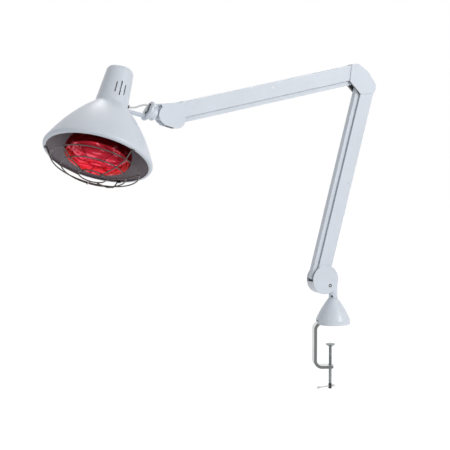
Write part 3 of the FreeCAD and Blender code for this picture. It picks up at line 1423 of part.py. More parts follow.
def lamp_shade():
    """Spun bell with a vented neck and a closed crown."""
    wall, top = size("shade_wall"), size("shade_height")
    body = new_body("lamp_shade", head_frame)
    outer, inner = bell_path(0), bell_path(wall)
    corner, inner_corner = outer[0].StartPoint, inner[0].StartPoint
    path = outer + straight((0, top), (0, top - wall)) + inner
    path += straight(inner_corner[:2], (mouth_opening, wall), (mouth_opening, 0), corner[:2])
    revolve(body, path)

    def level(height, radius=0):
        def chosen(box):
            wide = box.XLength / 2 > radius - 1e-3
            return wide and abs(box.ZMin - height) < 1e-3 and box.ZLength < 1e-3

        return chosen

    round_edges(body, "Sizes.lip_radius", level(0, corner.x))
    round_edges(body, "Sizes.lip_radius - Sizes.shade_wall", level(wall, inner_corner.x))
    round_edges(body, "Sizes.shade_fillet", level(size("bell_height")))
    for side in (-1, 1):
        for step in (-1, 0, 1):
            angle = side * size("slot_group_angle") + step * size("slot_step_angle")
            long = size("slot_long") if step == 0 else size("slot_short")
            run = long - size("slot_width")
            about = turned_by(Vector(0, 1, 0), angle + 180)
            slot = new_sketch(body, "YZ_Plane", about)
            draw(slot, stadium(0, size("slot_middle") - run / 2, run, 90, size("slot_width") / 2))
            pocket(body, slot, "Sizes.bell_top + 5", False)
    for height, radius in (
        (size("bell_height"), "Sizes.stem_radius + Sizes.seat_gap"),
        (flex_height, "Sizes.grommet_radius - 1 + Sizes.seat_gap"),
    ):
        hole = new_sketch(body, "YZ_Plane", turned_by(Vector(0, 1, 0), 180))
        draw_circle(hole, 0, height, radius)
        pocket(body, hole, "Sizes.bell_top + 10", False)


def stem_nut():
    """Nut that clamps the bracket and the shade on the stem."""
    highest = size("bell_height") + size("nut_radius")
    middle = bracket_inner(highest) - size("nut_height") - size("running_gap")
    nut = new_body("stem_nut", head_frame * moved(middle, 0, size("bell_height")))
    sketch = new_sketch(nut, "YZ_Plane")
    draw(sketch, hexagon(size("nut_radius")))
    draw_circle(sketch, 0, 0, "Sizes.stem_radius + Sizes.seat_gap")
    pad(nut, sketch, "Sizes.nut_height", False)


def neck_inside(height):
    """Inner radius of the shade's neck at a height."""
    slope = (size("bell_top") - size("neck_end")) / (size("shade_height") - size("bell_height"))
    return size("bell_top") - slope * (height - size("bell_height")) - size("shade_wall")


def bracket_inner(height):
    """Inner face of the bracket's inclined strip at a height."""
    low, top = size("bell_height") - size("bracket_tail"), holder_top + size("bracket_sheet")
    share = (height - low) / (top - low)
    low_x = neck_inside(size("bell_height")) - size("bracket_low_gap")
    top_x = neck_inside(top) - size("bracket_high_gap")
    return low_x * (1 - share) + top_x * share - size("bracket_sheet")


def holder_bracket():
    """Strip up the inside of the neck, folded over the lampholder."""
    sheet_metal = size("bracket_sheet")
    low, under = size("bell_height") - size("bracket_tail"), holder_top
    top = under + sheet_metal
    fold = size("bracket_fold")
    corners = [
        (bracket_inner(low), low),
        (bracket_inner(low) + sheet_metal, low),
        (bracket_inner(top) + sheet_metal, top, size("bracket_bend")),
        (fold, top),
        (fold, under),
        (bracket_inner(under), under, size("bracket_bend") - sheet_metal),
    ]
    body = new_body("holder_bracket", head_frame)
    sketch = new_sketch(body, "XZ_Plane")
    draw(sketch, rounded_path(corners))
    pad(body, sketch, "Sizes.bracket_width")
    hole = new_sketch(body, "YZ_Plane", turned_by(Vector(0, 1, 0), 180))
    draw_circle(hole, 0, size("bell_height"), "Sizes.stem_radius + Sizes.seat_gap")
    draw_circle(hole, 0, flex_height, "Sizes.grommet_radius")
    pocket(body, hole, "Sizes.bell_top + 10", False)
    screws = [(x, 0, SCREW_HOLE) for x in (-size("holder_screw_x"), size("holder_screw_x"))]
    drill(body, "XY_Plane", screws, "4 * Sizes.bracket_sheet", moved(0, 0, under))


def lampholder():
    """Porcelain holder round the bulb's cap."""
    radius, low, top = size("holder_radius"), holder_low, holder_top
    hole = size("cap_radius") + size("slip")
    roof = cap_top + size("running_gap")
    soft = size("soft_edge")
    corners = [
        (hole, low, size("small_edge")),
        (radius - size("holder_taper"), low, soft),
        (radius, low + size("holder_taper_run")),
        (radius, top, soft),
        (0, top),
        (0, roof),
        (hole, roof),
    ]
    body = turned("lampholder", corners, head_frame)
    holes = [(x, 0, SCREW_HOLE) for x in (-size("holder_screw_x"), size("holder_screw_x"))]
    sketch = new_sketch(body, "XY_Plane", moved(0, 0, top))
    for x, y, radius in holes:
        draw_circle(sketch, x, y, radius)
    pocket(body, sketch, "Sizes.cap_room / 2", False)


def holder_screws():
    screws = []
    top = holder_top + size("bracket_sheet")
    length = size("bracket_sheet") + (holder_top - cap_top) / 2 - size("slip")
    for x in (-size("holder_screw_x"), size("holder_screw_x")):
        sizes = (size("joint_screw_head"), size("joint_screw_cap"), size("joint_screw"), length)
        screws.append(cap_screw("holder_screw", *sizes, head_frame * moved(x, 0, top), False))
    together("holder_screws", screws)


# ---------------------------------------------------------------- bulb


def bulb_path(inset):
    """Side of the bulb's glass from the middle of its face to its neck, moved inwards."""
    widest, neck = size("bulb_radius"), size("bulb_neck")
    front, ring = bulb_end - size("bulb_height"), bulb_end - size("bulb_ring")
    # radius, height and the direction that faces outwards, in degrees
    points = [
        (0, front, -90),
        (widest * 0.47, front + widest * 0.058, -76),
        (widest * 0.88, front + widest * 0.224, -58),
        (widest * 0.985, ring - widest * 0.128, -24),
        (widest * 0.985, ring + widest * 0.128, 22),
        (widest * 0.82, ring + widest * 0.48, 37),
        (widest * 0.50, ring + widest * 0.912, 43),
        (widest * 0.345, ring + widest * 1.152, 34),
        (neck, ring + widest * 1.472, 0),
    ]
    places = []
    for radius, height, facing in points:
        places.append(Vector(radius, height, 0) - polar(0, 0, inset, facing))
    places[0].x = 0
    path = []
    for i in range(0, 8, 2):
        path.append(Part.Arc(places[i], places[i + 1], places[i + 2]))
    path.append(Part.LineSegment(places[8], Vector(neck - inset, bulb_end, 0)))
    return path


def bulb_glass():
    wall = size("glass_wall")
    body = new_body("bulb_glass", head_frame)
    outer = bulb_path(0)
    inner = bulb_path(wall)
    front, end, neck = bulb_end - size("bulb_height"), bulb_end, size("bulb_neck")
    path = outer + straight((neck, end), (neck - wall, end)) + inner
    path += straight((0, front + wall), (0, front))
    revolve(body, path)


def bulb_cap():
    """Screw cap of the bulb with its skirt on the glass and its end contact."""
    radius, end = size("cap_radius"), cap_top
    low = bulb_end
    shoulder = end - size("contact_rise")
    contact = size("contact_radius")
    corners = [
        (0, low),
        (size("bulb_neck") - size("cap_skirt_step"), low),
        (radius, low + size("cap_skirt")),
        (radius, shoulder - size("cap_shoulder"), size("soft_edge")),
        (size("contact_ring"), shoulder),
        (contact, shoulder),
        (contact, end, size("small_edge")),
        (0, end),
    ]
    turned("bulb_cap", corners, head_frame)


# ---------------------------------------------------------------- guard

GUARD_LEGS = (-54.0, 58.0, 173.0)
GUARD_SPOKES = (-139.5, -12.0, 95.0)
lip_frame = Placement(Vector(mouth_opening, 0, 0), Rotation(Vector(0, 1, 0), 90))


def guard_stop():
    """Where a leg of the guard meets its clip."""
    gap = size("clip_gap") + size("clip_sheet")
    return lip_frame.multVec(flat(-size("shade_wall") / 2, -gap - size("leg_gap")))


def bulb_guard():
    """Three rings on six radial wires, three of which run on to the shade's mouth."""
    pieces = []
    rings = [(size(f"ring_{i}"), -size(f"drop_{i}")) for i in (3, 2, 1)]
    for number, (radius, height) in enumerate(rings):
        ring = doc.addObject("Part::Torus", f"guard_ring_{number}")
        ring.setExpression("Radius1", f"Sizes.ring_{3 - number}")
        ring.setExpression("Radius2", "Sizes.wire")
        ring.Placement = head_frame * moved(0, 0, height)
        pieces.append(ring)
    under = size("wire_nest")
    route = [flat(radius, height - under) for radius, height in rings]
    first = route[0] + (route[0] - route[1]).normalize() * 2 * size("wire")
    last = route[2] + (route[2] - route[1]).normalize() * 2 * size("wire")
    for angle in GUARD_LEGS + GUARD_SPOKES:
        end = guard_stop() if angle in GUARD_LEGS else last
        way = [first, route[1], route[2], end] if angle in GUARD_LEGS else [first, route[1], end]
        wire = doc.addObject("Part::Feature", "guard_wire")
        wire.Shape = bent_rod(way, size("wire"), size("guard_bend"))
        wire.Placement = head_frame * turned_by(Vector(0, 0, 1), angle)
        pieces.append(wire)
    guard = doc.addObject("Part::MultiFuse", "bulb_guard")
    guard.Shapes = pieces
    guard.Label = "bulb_guard"
    parts.append(guard)


def guard_clips():
    """Clips over the shade's edge that the guard's legs end in."""
    gap, leaf = size("clip_gap"), size("clip_sheet")
    inner, outer = -size("shade_wall") - gap, gap
    high, low = size("clip_reach"), -gap
    corners = closed(
        (inner - leaf, low - leaf),
        (outer + leaf, low - leaf),
        (outer + leaf, size("clip_lip")),
        (outer, size("clip_lip")),
        (outer, low),
        (inner, low),
        (inner, high),
        (inner - leaf, high),
    )
    clips = []
    for angle in GUARD_LEGS:
        place = head_frame * turned_by(Vector(0, 0, 1), angle) * lip_frame
        body = new_body("guard_clip", place, False)
        sketch = new_sketch(body, "XZ_Plane")
        draw(sketch, corners)
        pad(body, sketch, "Sizes.clip_width")
        clips.append(body)
    together("guard_clips", clips)


# ---------------------------------------------------------------- flex


def flex_points():
    """Route of the flex from the turning plate into the shade's neck."""
    start = face + turn_axis * -plate_face + turn_up * size("flex_rise")
    end = head_frame.multVec(flat(bracket_inner(flex_height) + 1, flex_height))
    first = start + turn_axis * size("flex_start")
    last = end + head_x * size("flex_end")
    return [start, first, last, end]


def head_flex():
    piece = doc.addObject("Part::Feature", "head_flex")
    piece.Shape = bent_rod(flex_points(), size("flex_radius"))
    piece.Placement = Placement()
    piece.Label = "head_flex"
    parts.append(piece)


def flex_grommets():
    """Rubber rings where the flex leaves the plate and enters the neck."""
    points = flex_points()
    hole = size("flex_radius") + size("seat_gap")
    outer, step = size("grommet_radius"), size("grommet_radius") - 1
    thick = size("grommet_sheet")
    grommets = []
    sheet_in_hole = size("plate_sheet")
    corners = [(hole, 0), (step, 0), (step, sheet_in_hole), (outer, sheet_in_hole)]
    corners += [(outer, sheet_in_hole + thick, size("fine_edge")), (hole, sheet_in_hole + thick)]
    grommets.append(turned("grommet", corners, axes(points[0], Vector(0, 1, 0), turn_axis), False))
    outside = neck_inside(flex_height - outer) + size("shade_wall") + size("running_gap")
    corners = [(hole, -size("shade_wall")), (step, -size("shade_wall")), (step, 0), (outer, 0)]
    corners += [(outer, thick, size("fine_edge")), (hole, thick)]
    place = head_frame.multVec(flat(outside, flex_height))
    grommets.append(turned("grommet", corners, axes(place, head_z, head_x), False))
    together("flex_grommets", grommets)


# ---------------------------------------------------------------- building

clamp_bracket()
thread_bush()
post_socket()
socket_bush()
socket_screws()
cone_cover()
pressure_pad()
clamp_spindle()
spindle_head()
tommy_bar()
tommy_knobs()
swivel_post()
shoulder_housing()
shoulder_cover()
shoulder_core()
shoulder_small_pieces()
channel("lower_arm_channel", lower_frame)
arm_spring("lower", lower_frame)
parallel_bar("lower_arm_bar", axes(shoulder_link, lower_along, lower_out))
elbow_core()
elbow_covers()
elbow_small_pieces()
channel("forearm_channel", fore_frame)
arm_spring("forearm", fore_frame)
parallel_bar("forearm_bar", axes(elbow_fore_link, fore_along, fore_out))
wrist_core()
wrist_covers()
wrist_small_pieces()
knuckle()
friction_washers()
head_stem()
turning_bolt()
lamp_shade()
stem_nut()
holder_bracket()
lampholder()
holder_screws()
bulb_glass()
bulb_cap()
bulb_guard()
guard_clips()
head_flex()
flex_grommets()
doc.recompute()

# ---------------------------------------------------------------- checks and files

for thing in doc.Objects:
    if "Invalid" in thing.State or "Error" in thing.State:
        raise RuntimeError(f"{thing.Label} failed: {thing.State}")
for part in parts:
    if part.Shape.isNull() or not part.Shape.isValid() or not part.Shape.Solids:
        raise RuntimeError(f"{part.Label} has no valid shape")

os.makedirs("parts", exist_ok=True)
for part in parts:
    part.Shape.exportStep(f"parts/{part.Label}.step")
print(len(parts), "pieces written")
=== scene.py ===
# Infrared heat therapy lamp on a balanced swing arm with a table clamp, dressed
# piece by piece from the clamp up to the lamp head. Metres, in the model's frame.
import math

import bmesh
import bpy
from mathutils import Matrix, Vector


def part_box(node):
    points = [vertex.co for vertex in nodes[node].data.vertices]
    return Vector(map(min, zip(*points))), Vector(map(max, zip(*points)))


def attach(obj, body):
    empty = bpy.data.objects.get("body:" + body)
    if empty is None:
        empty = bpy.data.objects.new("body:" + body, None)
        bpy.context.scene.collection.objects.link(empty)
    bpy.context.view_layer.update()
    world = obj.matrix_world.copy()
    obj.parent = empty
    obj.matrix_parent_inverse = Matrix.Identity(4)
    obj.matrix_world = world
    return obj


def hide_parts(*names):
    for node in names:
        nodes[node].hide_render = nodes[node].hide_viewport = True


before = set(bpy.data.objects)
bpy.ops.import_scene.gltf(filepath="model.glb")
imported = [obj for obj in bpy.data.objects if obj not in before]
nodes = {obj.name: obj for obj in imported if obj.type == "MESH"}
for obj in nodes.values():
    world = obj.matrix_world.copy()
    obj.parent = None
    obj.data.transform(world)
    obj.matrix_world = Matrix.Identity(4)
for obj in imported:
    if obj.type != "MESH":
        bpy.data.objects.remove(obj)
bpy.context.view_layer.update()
scene = bpy.context.scene

# ---------------------------------------------------------------- camera
# A long lens to the left of the lamp's front, which sees the arms nearly side
# on and looks into the shade's mouth.

lens = bpy.data.cameras.new("camera")
lens.sensor_width = 36.0
lens.lens = 94.08
lens.clip_end = 50.0
camera = bpy.data.objects.new("camera", lens)
scene.collection.objects.link(camera)
camera.location = (-1.1942, -2.0041, 0.3799)
camera.rotation_euler = Vector((0.4292, 0.8999, -0.0785)).to_track_quat("-Z", "Y").to_euler()
scene.camera = camera
scene.view_settings.view_transform = "Standard"

# ---------------------------------------------------------------- floor and light
# A pale studio floor well under the clamp, a pale surround, a broad key light
# from the upper right of the front and three weaker lamps.


def new_material(name):
    """Returns a material, its node tree and its shader."""
    material = bpy.data.materials.new(name)
    material.use_nodes = True
    tree = material.node_tree
    return material, tree, tree.nodes["Principled BSDF"]


def scalar_math(tree, operation, first, second=None):
    """Result of a Math node; second is a number or a socket."""
    node = tree.nodes.new("ShaderNodeMath")
    node.operation = operation
    tree.links.new(first, node.inputs[0])
    if isinstance(second, float):
        node.inputs[1].default_value = second
    elif second:
        tree.links.new(second, node.inputs[1])
    return node.outputs["Value"]


def pale_surround(tree, shaded, white, share=1.0):
    """Mixes in a share of plain white where a surface is seen directly or mirrored."""
    ray = tree.nodes.new("ShaderNodeLightPath").outputs
    seen = scalar_math(tree, "MAXIMUM", ray["Is Camera Ray"], ray["Is Glossy Ray"])
    seen = scalar_math(tree, "MAXIMUM", seen, ray["Is Transmission Ray"])
    mix = tree.nodes.new("ShaderNodeMixShader")
    tree.links.new(scalar_math(tree, "MULTIPLY", seen, share), mix.inputs[0])
    tree.links.new(shaded.outputs[0], mix.inputs[1])
    tree.links.new(white.outputs[0], mix.inputs[2])
    return mix.outputs["Shader"]


world = bpy.data.worlds.new("studio")
world.use_nodes = True
scene.world = world
light_tree = world.node_tree
plain = light_tree.nodes["Background"]
plain.inputs["Color"].default_value = (0.93, 0.96, 1.0, 1)
plain.inputs["Strength"].default_value = 0.42
white = light_tree.nodes.new("ShaderNodeBackground")
white.inputs["Color"].default_value = (1, 1, 1, 1)
white.inputs["Strength"].default_value = 1.0
light_tree.links.new(
    pale_surround(light_tree, plain, white), light_tree.nodes["World Output"].inputs["Surface"]
)

FLOOR_HEIGHT = -0.74
FLOOR_REACH = 12

floor_mesh = bpy.data.meshes.new("floor")
grid = bmesh.new()
bmesh.ops.create_grid(grid, x_segments=1, y_segments=1, size=FLOOR_REACH)
bmesh.ops.translate(grid, verts=grid.verts, vec=(0, 0, FLOOR_HEIGHT))
grid.to_mesh(floor_mesh)
grid.free()
floor = bpy.data.objects.new("floor", floor_mesh)
scene.collection.objects.link(floor)
floor_material, tree, surface = new_material("floor")
surface.inputs["Base Color"].default_value = (0.9, 0.9, 0.9, 1)
surface.inputs["Roughness"].default_value = 0.9
glow = tree.nodes.new("ShaderNodeEmission")
glow.inputs["Strength"].default_value = 1.2
# the floor keeps a fifth of its own shading, and so a faint shadow
tree.links.new(
    pale_surround(tree, surface, glow, 0.8), tree.nodes["Material Output"].inputs["Surface"]
)
floor_mesh.materials.append(floor_material)

for name, place, aim, size, power in (
    ("key", (1.2, -2.6, 1.5), (-0.15, 0, 0.3), 1.1, 42.0),
    ("fill", (-2.2, -2.2, 1.3), (-0.2, 0, 0.3), 1.2, 4.5),
    ("under", (-0.9, -1.6, -0.45), (-0.45, 0, 0.35), 0.35, 0.9),
    ("back", (0.5, 2.0, 2.4), (-0.2, 0, 0.3), 1.2, 18.0),
):
    lamp = bpy.data.lights.new(name, "AREA")
    lamp.shape = "DISK"
    lamp.size = size
    lamp.energy = power
    light = bpy.data.objects.new(name, lamp)
    scene.collection.objects.link(light)
    light.location = place
    light.rotation_euler = (Vector(aim) - Vector(place)).to_track_quat("-Z", "Y").to_euler()

# ---------------------------------------------------------------- clamp
# A strip of steel bent to a C, zinc plated after bending, with a pressed-in
# thread bush, a turned socket for the post and its two countersunk screws.


def object_grain(tree, scale, detail=2.0, stretch=(1.0, 1.0, 1.0)):
    """Noise fixed to the piece; scale is in features a metre."""
    place = tree.nodes.new("ShaderNodeTexCoord")
    mapping = tree.nodes.new("ShaderNodeMapping")
    mapping.inputs["Scale"].default_value = stretch
    noise = tree.nodes.new("ShaderNodeTexNoise")
    noise.inputs["Scale"].default_value = scale
    noise.inputs["Detail"].default_value = detail
    tree.links.new(place.outputs["Object"], mapping.inputs["Vector"])
    tree.links.new(mapping.outputs["Vector"], noise.inputs["Vector"])
    return noise.outputs["Fac"]


def spread(tree, source, low, high):
    """Noise stretched to run from low to high."""
    reach = tree.nodes.new("ShaderNodeMapRange")
    reach.inputs["From Min"].default_value = 0.3
    reach.inputs["From Max"].default_value = 0.7
    reach.inputs["To Min"].default_value = low
    reach.inputs["To Max"].default_value = high
    tree.links.new(source, reach.inputs["Value"])
    return reach.outputs["Result"]


def tones(tree, source, *stops):
    """Colours along a source; a stop is a position and an RGB colour."""
    ramp = tree.nodes.new("ShaderNodeValToRGB")
    points = ramp.color_ramp.elements
    while len(points) < len(stops):
        points.new(0.5)
    for point, (position, colour) in zip(points, stops):
        point.position = position
        point.color = (*colour, 1)
    tree.links.new(source, ramp.inputs["Fac"])
    return ramp.outputs["Color"]


def tint_and_gloss(tree, surface, grain, stops, rough):
    """Lets one grain steer the colour between stops and the roughness between two ends."""
    tree.links.new(tones(tree, grain, *stops), surface.inputs["Base Color"])
    tree.links.new(spread(tree, grain, *rough), surface.inputs["Roughness"])


def raise_surface(tree, surface, height, strength, distance):
    bump = tree.nodes.new("ShaderNodeBump")
    bump.inputs["Strength"].default_value = strength
    bump.inputs["Distance"].default_value = distance
    tree.links.new(height, bump.inputs["Height"])
    tree.links.new(bump.outputs["Normal"], surface.inputs["Normal"])


def plated_steel(name, light, dark, rough=(0.26, 0.42), lay=(1.0, 1.0, 1.0)):
    """Zinc plate or bare steel: fine lines, drawn out along lay, and a cloudy bloom."""
    material, tree, surface = new_material(name)
    surface.inputs["Metallic"].default_value = 1.0
    bloom = object_grain(tree, 90, 4)
    tint_and_gloss(tree, surface, bloom, ((0.35, dark), (0.65, light)), rough)
    raise_surface(tree, surface, object_grain(tree, 900, 3, lay), 0.25, 0.00012)
    return material


def finish(material, *names):
    """Gives solids of the model their only material."""
    for name in names:
        nodes[name].data.materials.clear()
        nodes[name].data.materials.append(material)


def vector_math(tree, operation, first, second):
    """Vector Math node; second is a tuple or a socket."""
    node = tree.nodes.new("ShaderNodeVectorMath")
    node.operation = operation
    tree.links.new(first, node.inputs[0])
    if isinstance(second, tuple):
        node.inputs[1].default_value = second
    else:
        tree.links.new(second, node.inputs[1])
    return node


# the Mix node's colour sockets share their names with its other sockets
MIX_FIRST, MIX_SECOND, MIX_RESULT = 6, 7, 2


def mix_colours(tree, blend, first, second):
    """Mix node with all of its second colour, which is a colour or a socket."""
    mix = tree.nodes.new("ShaderNodeMix")
    mix.data_type = "RGBA"
    mix.blend_type = blend
    mix.inputs["Factor"].default_value = 1.0
    tree.links.new(first, mix.inputs[MIX_FIRST])
    if isinstance(second, tuple):
        mix.inputs[MIX_SECOND].default_value = (*second, 1)
    else:
        tree.links.new(second, mix.inputs[MIX_SECOND])
    return mix


def recolour(material, mask, colour):
    """Gives the masked part of a material a colour of its own."""
    tree = material.node_tree
    base = tree.nodes["Principled BSDF"].inputs["Base Color"]
    mix = mix_colours(tree, "MIX", base.links[0].from_socket, colour)
    tree.links.new(mask, mix.inputs["Factor"])
    tree.links.new(mix.outputs[MIX_RESULT], base)


CLAMP_TURN = math.radians(-19.5)
CLAMP_ACROSS = (-math.sin(CLAMP_TURN), math.cos(CLAMP_TURN), 0.0)
CUT_EDGE_FACING = 0.75
ZINC_ROUGH = (0.3, 0.46)
ZINC_LAY = (1, 1, 0.12)

zinc = plated_steel("zinc_plate", (0.50, 0.51, 0.51), (0.36, 0.37, 0.37), ZINC_ROUGH, ZINC_LAY)
finish(zinc, "thread_bush", "post_socket", "socket_screws")
strip_zinc = plated_steel(
    "strip_zinc", (0.74, 0.75, 0.75), (0.60, 0.61, 0.61), ZINC_ROUGH, ZINC_LAY
)
tree = strip_zinc.node_tree
# the strip's edge faces, which look either way across it, are painted near black as shade
place = tree.nodes.new("ShaderNodeTexCoord")
facing = vector_math(tree, "DOT_PRODUCT", place.outputs["Normal"], CLAMP_ACROSS)
either_way = scalar_math(tree, "ABSOLUTE", facing.outputs["Value"])
edges_painted_dark = scalar_math(tree, "GREATER_THAN", either_way, CUT_EDGE_FACING)
recolour(strip_zinc, edges_painted_dark, (0.17, 0.17, 0.175))
finish(strip_zinc, "clamp_bracket")

# ---------------------------------------------------------------- clamp screw
# A steel spindle with a rolled thread, oiled dark, under a swivelling pad. Its
# black dipped end takes a sliding cross bar with a knob pressed on each end.

SCREW_AXIS = Vector((-0.004525, 0.001602, 0))
THREAD_CREST = 0.0031
THREAD_ROOT = 0.0026
THREAD_PITCH = 0.00125
THREAD_LOW = -0.12098
THREAD_TURNS = 61
THREAD_FLAT = 0.12 * THREAD_PITCH
THREAD_FLANK = 0.38 * THREAD_PITCH


def new_piece(name, shape, material, body, smooth_under=40):
    """Closes a bmesh into an object that rides on a body."""
    mesh = bpy.data.meshes.new(name)
    shape.to_mesh(mesh)
    shape.free()
    mesh.materials.append(material)
    piece = bpy.data.objects.new(name, mesh)
    scene.collection.objects.link(piece)
    mesh.shade_smooth()
    mesh.set_sharp_from_angle(angle=math.radians(smooth_under))
    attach(piece, body)
    return piece


def close_and_turn_out(shape):
    """Merges doubles, closes open ends and turns every face outwards."""
    bmesh.ops.remove_doubles(shape, verts=shape.verts, dist=0.00001)
    bmesh.ops.holes_fill(shape, edges=shape.edges, sides=0)
    bmesh.ops.recalc_face_normals(shape, faces=shape.faces)


def line(shape, points):
    """Open line of vertices joined by edges."""
    verts = [shape.verts.new(point) for point in points]
    edges = [shape.edges.new(pair) for pair in zip(verts, verts[1:])]
    return verts + edges


def sweep(shape, section, axis, steps, turns=1, rise=0.0):
    """Sweeps a section round an axis through the origin; rise is along it, for one turn."""
    bmesh.ops.spin(
        shape,
        geom=section,
        cent=(0, 0, 0),
        axis=axis,
        dvec=Vector(axis) * rise / steps,
        angle=2 * math.pi * turns,
        steps=steps * turns,
        use_merge=not rise,
    )


thread = bmesh.new()
profile = line(
    thread,
    [
        (THREAD_ROOT, 0, 0),
        (THREAD_ROOT, 0, THREAD_FLAT),
        (THREAD_CREST, 0, THREAD_FLAT + THREAD_FLANK),
        (THREAD_CREST, 0, 2 * THREAD_FLAT + THREAD_FLANK),
        (THREAD_ROOT, 0, THREAD_PITCH),
    ],
)
sweep(thread, profile, (0, 0, 1), 20, THREAD_TURNS, THREAD_PITCH)
close_and_turn_out(thread)
bmesh.ops.translate(thread, verts=thread.verts, vec=SCREW_AXIS + Vector((0, 0, THREAD_LOW)))
dark_steel = plated_steel("oiled_steel", (0.38, 0.41, 0.41), (0.21, 0.24, 0.24), (0.3, 0.5))
spindle = new_piece("spindle_thread", thread, dark_steel, "spindle")
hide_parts("clamp_spindle")
finish(dark_steel, "pressure_pad")
bar_steel = plated_steel("drawn_bar", (0.58, 0.59, 0.58), (0.42, 0.43, 0.42), lay=(0.1, 1, 1))
finish(bar_steel, "tommy_bar", "tommy_knobs")


def black_nylon(name, base=(0.018, 0.018, 0.02)):
    """Moulded or dipped black plastic with a fine spark texture."""
    material, tree, surface = new_material(name)
    lighter = tuple(value * 1.8 for value in base)
    stops = ((0.35, base), (0.7, lighter))
    tint_and_gloss(tree, surface, object_grain(tree, 60, 3), stops, (0.38, 0.55))
    raise_surface(tree, surface, object_grain(tree, 2500, 2), 0.3, 0.0001)
    return material


finish(black_nylon("dipped_end"), "spindle_head")

# ---------------------------------------------------------------- cone cover
# A spun or moulded cone that stands on the table over the socket, in the same
# satin bluish white enamel as the arms, with a slightly pebbled surface.

BLUISH_WHITE = (0.73, 0.77, 0.83)
CAST_ROUGH = (0.34, 0.46)


def enamel(name, rough=(0.30, 0.40)):
    """Stoved enamel: even colour with a faint cloud and an orange-peel skin."""
    material, tree, surface = new_material(name)
    surface.inputs["Coat Weight"].default_value = 0.15
    surface.inputs["Coat Roughness"].default_value = 0.3
    deeper = tuple(value * 0.955 for value in BLUISH_WHITE)
    cloud = tones(tree, object_grain(tree, 12, 4), (0.35, deeper), (0.62, BLUISH_WHITE))
    tree.links.new(cloud, surface.inputs["Base Color"])
    tree.links.new(spread(tree, object_grain(tree, 160, 3), *rough), surface.inputs["Roughness"])
    raise_surface(tree, surface, object_grain(tree, 900, 2), 0.05, 0.0003)
    return material


finish(enamel("cone_enamel", CAST_ROUGH), "cone_cover")
finish(black_nylon("bush_nylon"), "socket_bush")

# ---------------------------------------------------------------- shoulder
# A cast drum and neck in enamel, screwed shut by a disc with one sunk screw,
# over a black moulded block that holds the steel pins.

joint_enamel = enamel("joint_enamel")
finish(joint_enamel, "shoulder_housing", "shoulder_cover")
block_nylon = black_nylon("block_nylon")
finish(block_nylon, "shoulder_core", "lock_screw")
finish(zinc, "swivel_post", "shoulder_arm_pin", "shoulder_link_pin", "shoulder_spring_stud")

SCREW_HEAD_RADIUS = 0.0017
SHADOW_RING_HOLE = 0.0025
SHADOW_RING_RADIUS = 0.0035
SHADOW_RING_RISE = 0.00015

# the screw's head is bright and the recess round it in shadow
low, high = (Vector(corner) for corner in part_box("shoulder_cover_screw"))
screw_middle = (low + high) / 2
screw_steel = plated_steel("cover_screw_head", (0.62, 0.62, 0.61), (0.48, 0.48, 0.48))
tree = screw_steel.node_tree
place = tree.nodes.new("ShaderNodeTexCoord").outputs["Object"]
from_middle = vector_math(tree, "SUBTRACT", place, tuple(screw_middle)).outputs["Vector"]
from_axis = vector_math(tree, "MULTIPLY", from_middle, (1, 0, 1)).outputs["Vector"]
radius = vector_math(tree, "LENGTH", from_axis, (0, 0, 0)).outputs["Value"]
in_shadow = scalar_math(tree, "GREATER_THAN", radius, SCREW_HEAD_RADIUS)
recolour(screw_steel, in_shadow, (0.03, 0.03, 0.03))
finish(screw_steel, "shoulder_cover_screw")

# a low near-black ring with sloped sides lies on the cover round the screw's hole: painted shadow
# of the recess round the screw
shadow_ring = bmesh.new()
section = line(
    shadow_ring, [(SHADOW_RING_HOLE, 0, 0), (SHADOW_RING_HOLE, 0, SHADOW_RING_RISE), (SHADOW_RING_RADIUS, 0, SHADOW_RING_RISE / 3)]
)
sweep(shadow_ring, section, (0, 0, 1), 40)
bmesh.ops.remove_doubles(shadow_ring, verts=shadow_ring.verts, dist=0.000005)
bmesh.ops.bridge_loops(shadow_ring, edges=[edge for edge in shadow_ring.edges if edge.is_boundary])
bmesh.ops.recalc_face_normals(shadow_ring, faces=shadow_ring.faces)
cover_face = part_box("shoulder_cover")[0][1]
stand = Matrix.Translation((screw_middle.x, cover_face, screw_middle.z))
stand @= Matrix.Rotation(math.radians(90), 4, "X")
bmesh.ops.transform(shadow_ring, matrix=stand, verts=shadow_ring.verts)
well_shadow = black_nylon("well_shadow", (0.03, 0.03, 0.032))
new_piece("screw_shadow_ring", shadow_ring, well_shadow, "shoulder")

# ---------------------------------------------------------------- arms
# Two arms folded from sheet, each with a narrower folded bar beside it, all in
# enamel. Inside each arm lies a long close-wound spring of bare wire.

finish(enamel("arm_enamel"), "lower_arm_channel", "forearm_channel")
finish(enamel("bar_enamel"), "lower_arm_bar", "forearm_bar")
finish(zinc, "lower_spring_anchor", "forearm_spring_anchor")

# places along an arm from the pin at its lower end, and sizes of its spring
COIL_RADIUS = 0.0045
COIL_WIRE = 0.0007
COIL_PITCH = 2.02 * COIL_WIRE
COIL_START = 0.0385
COIL_TURNS = 94
COIL_END = COIL_START + COIL_TURNS * COIL_PITCH
CONE_LENGTH = 0.006
CONE_END = 0.32
EYE_RADIUS = 0.0024
EYE_LOW = 0.011
EYE_HIGH = 0.19
SHANK_INSIDE = 0.003
SPRING_SET_BACK = 0.005

spring_steel = plated_steel("spring_wire", (0.42, 0.42, 0.43), (0.27, 0.27, 0.28), (0.25, 0.4))


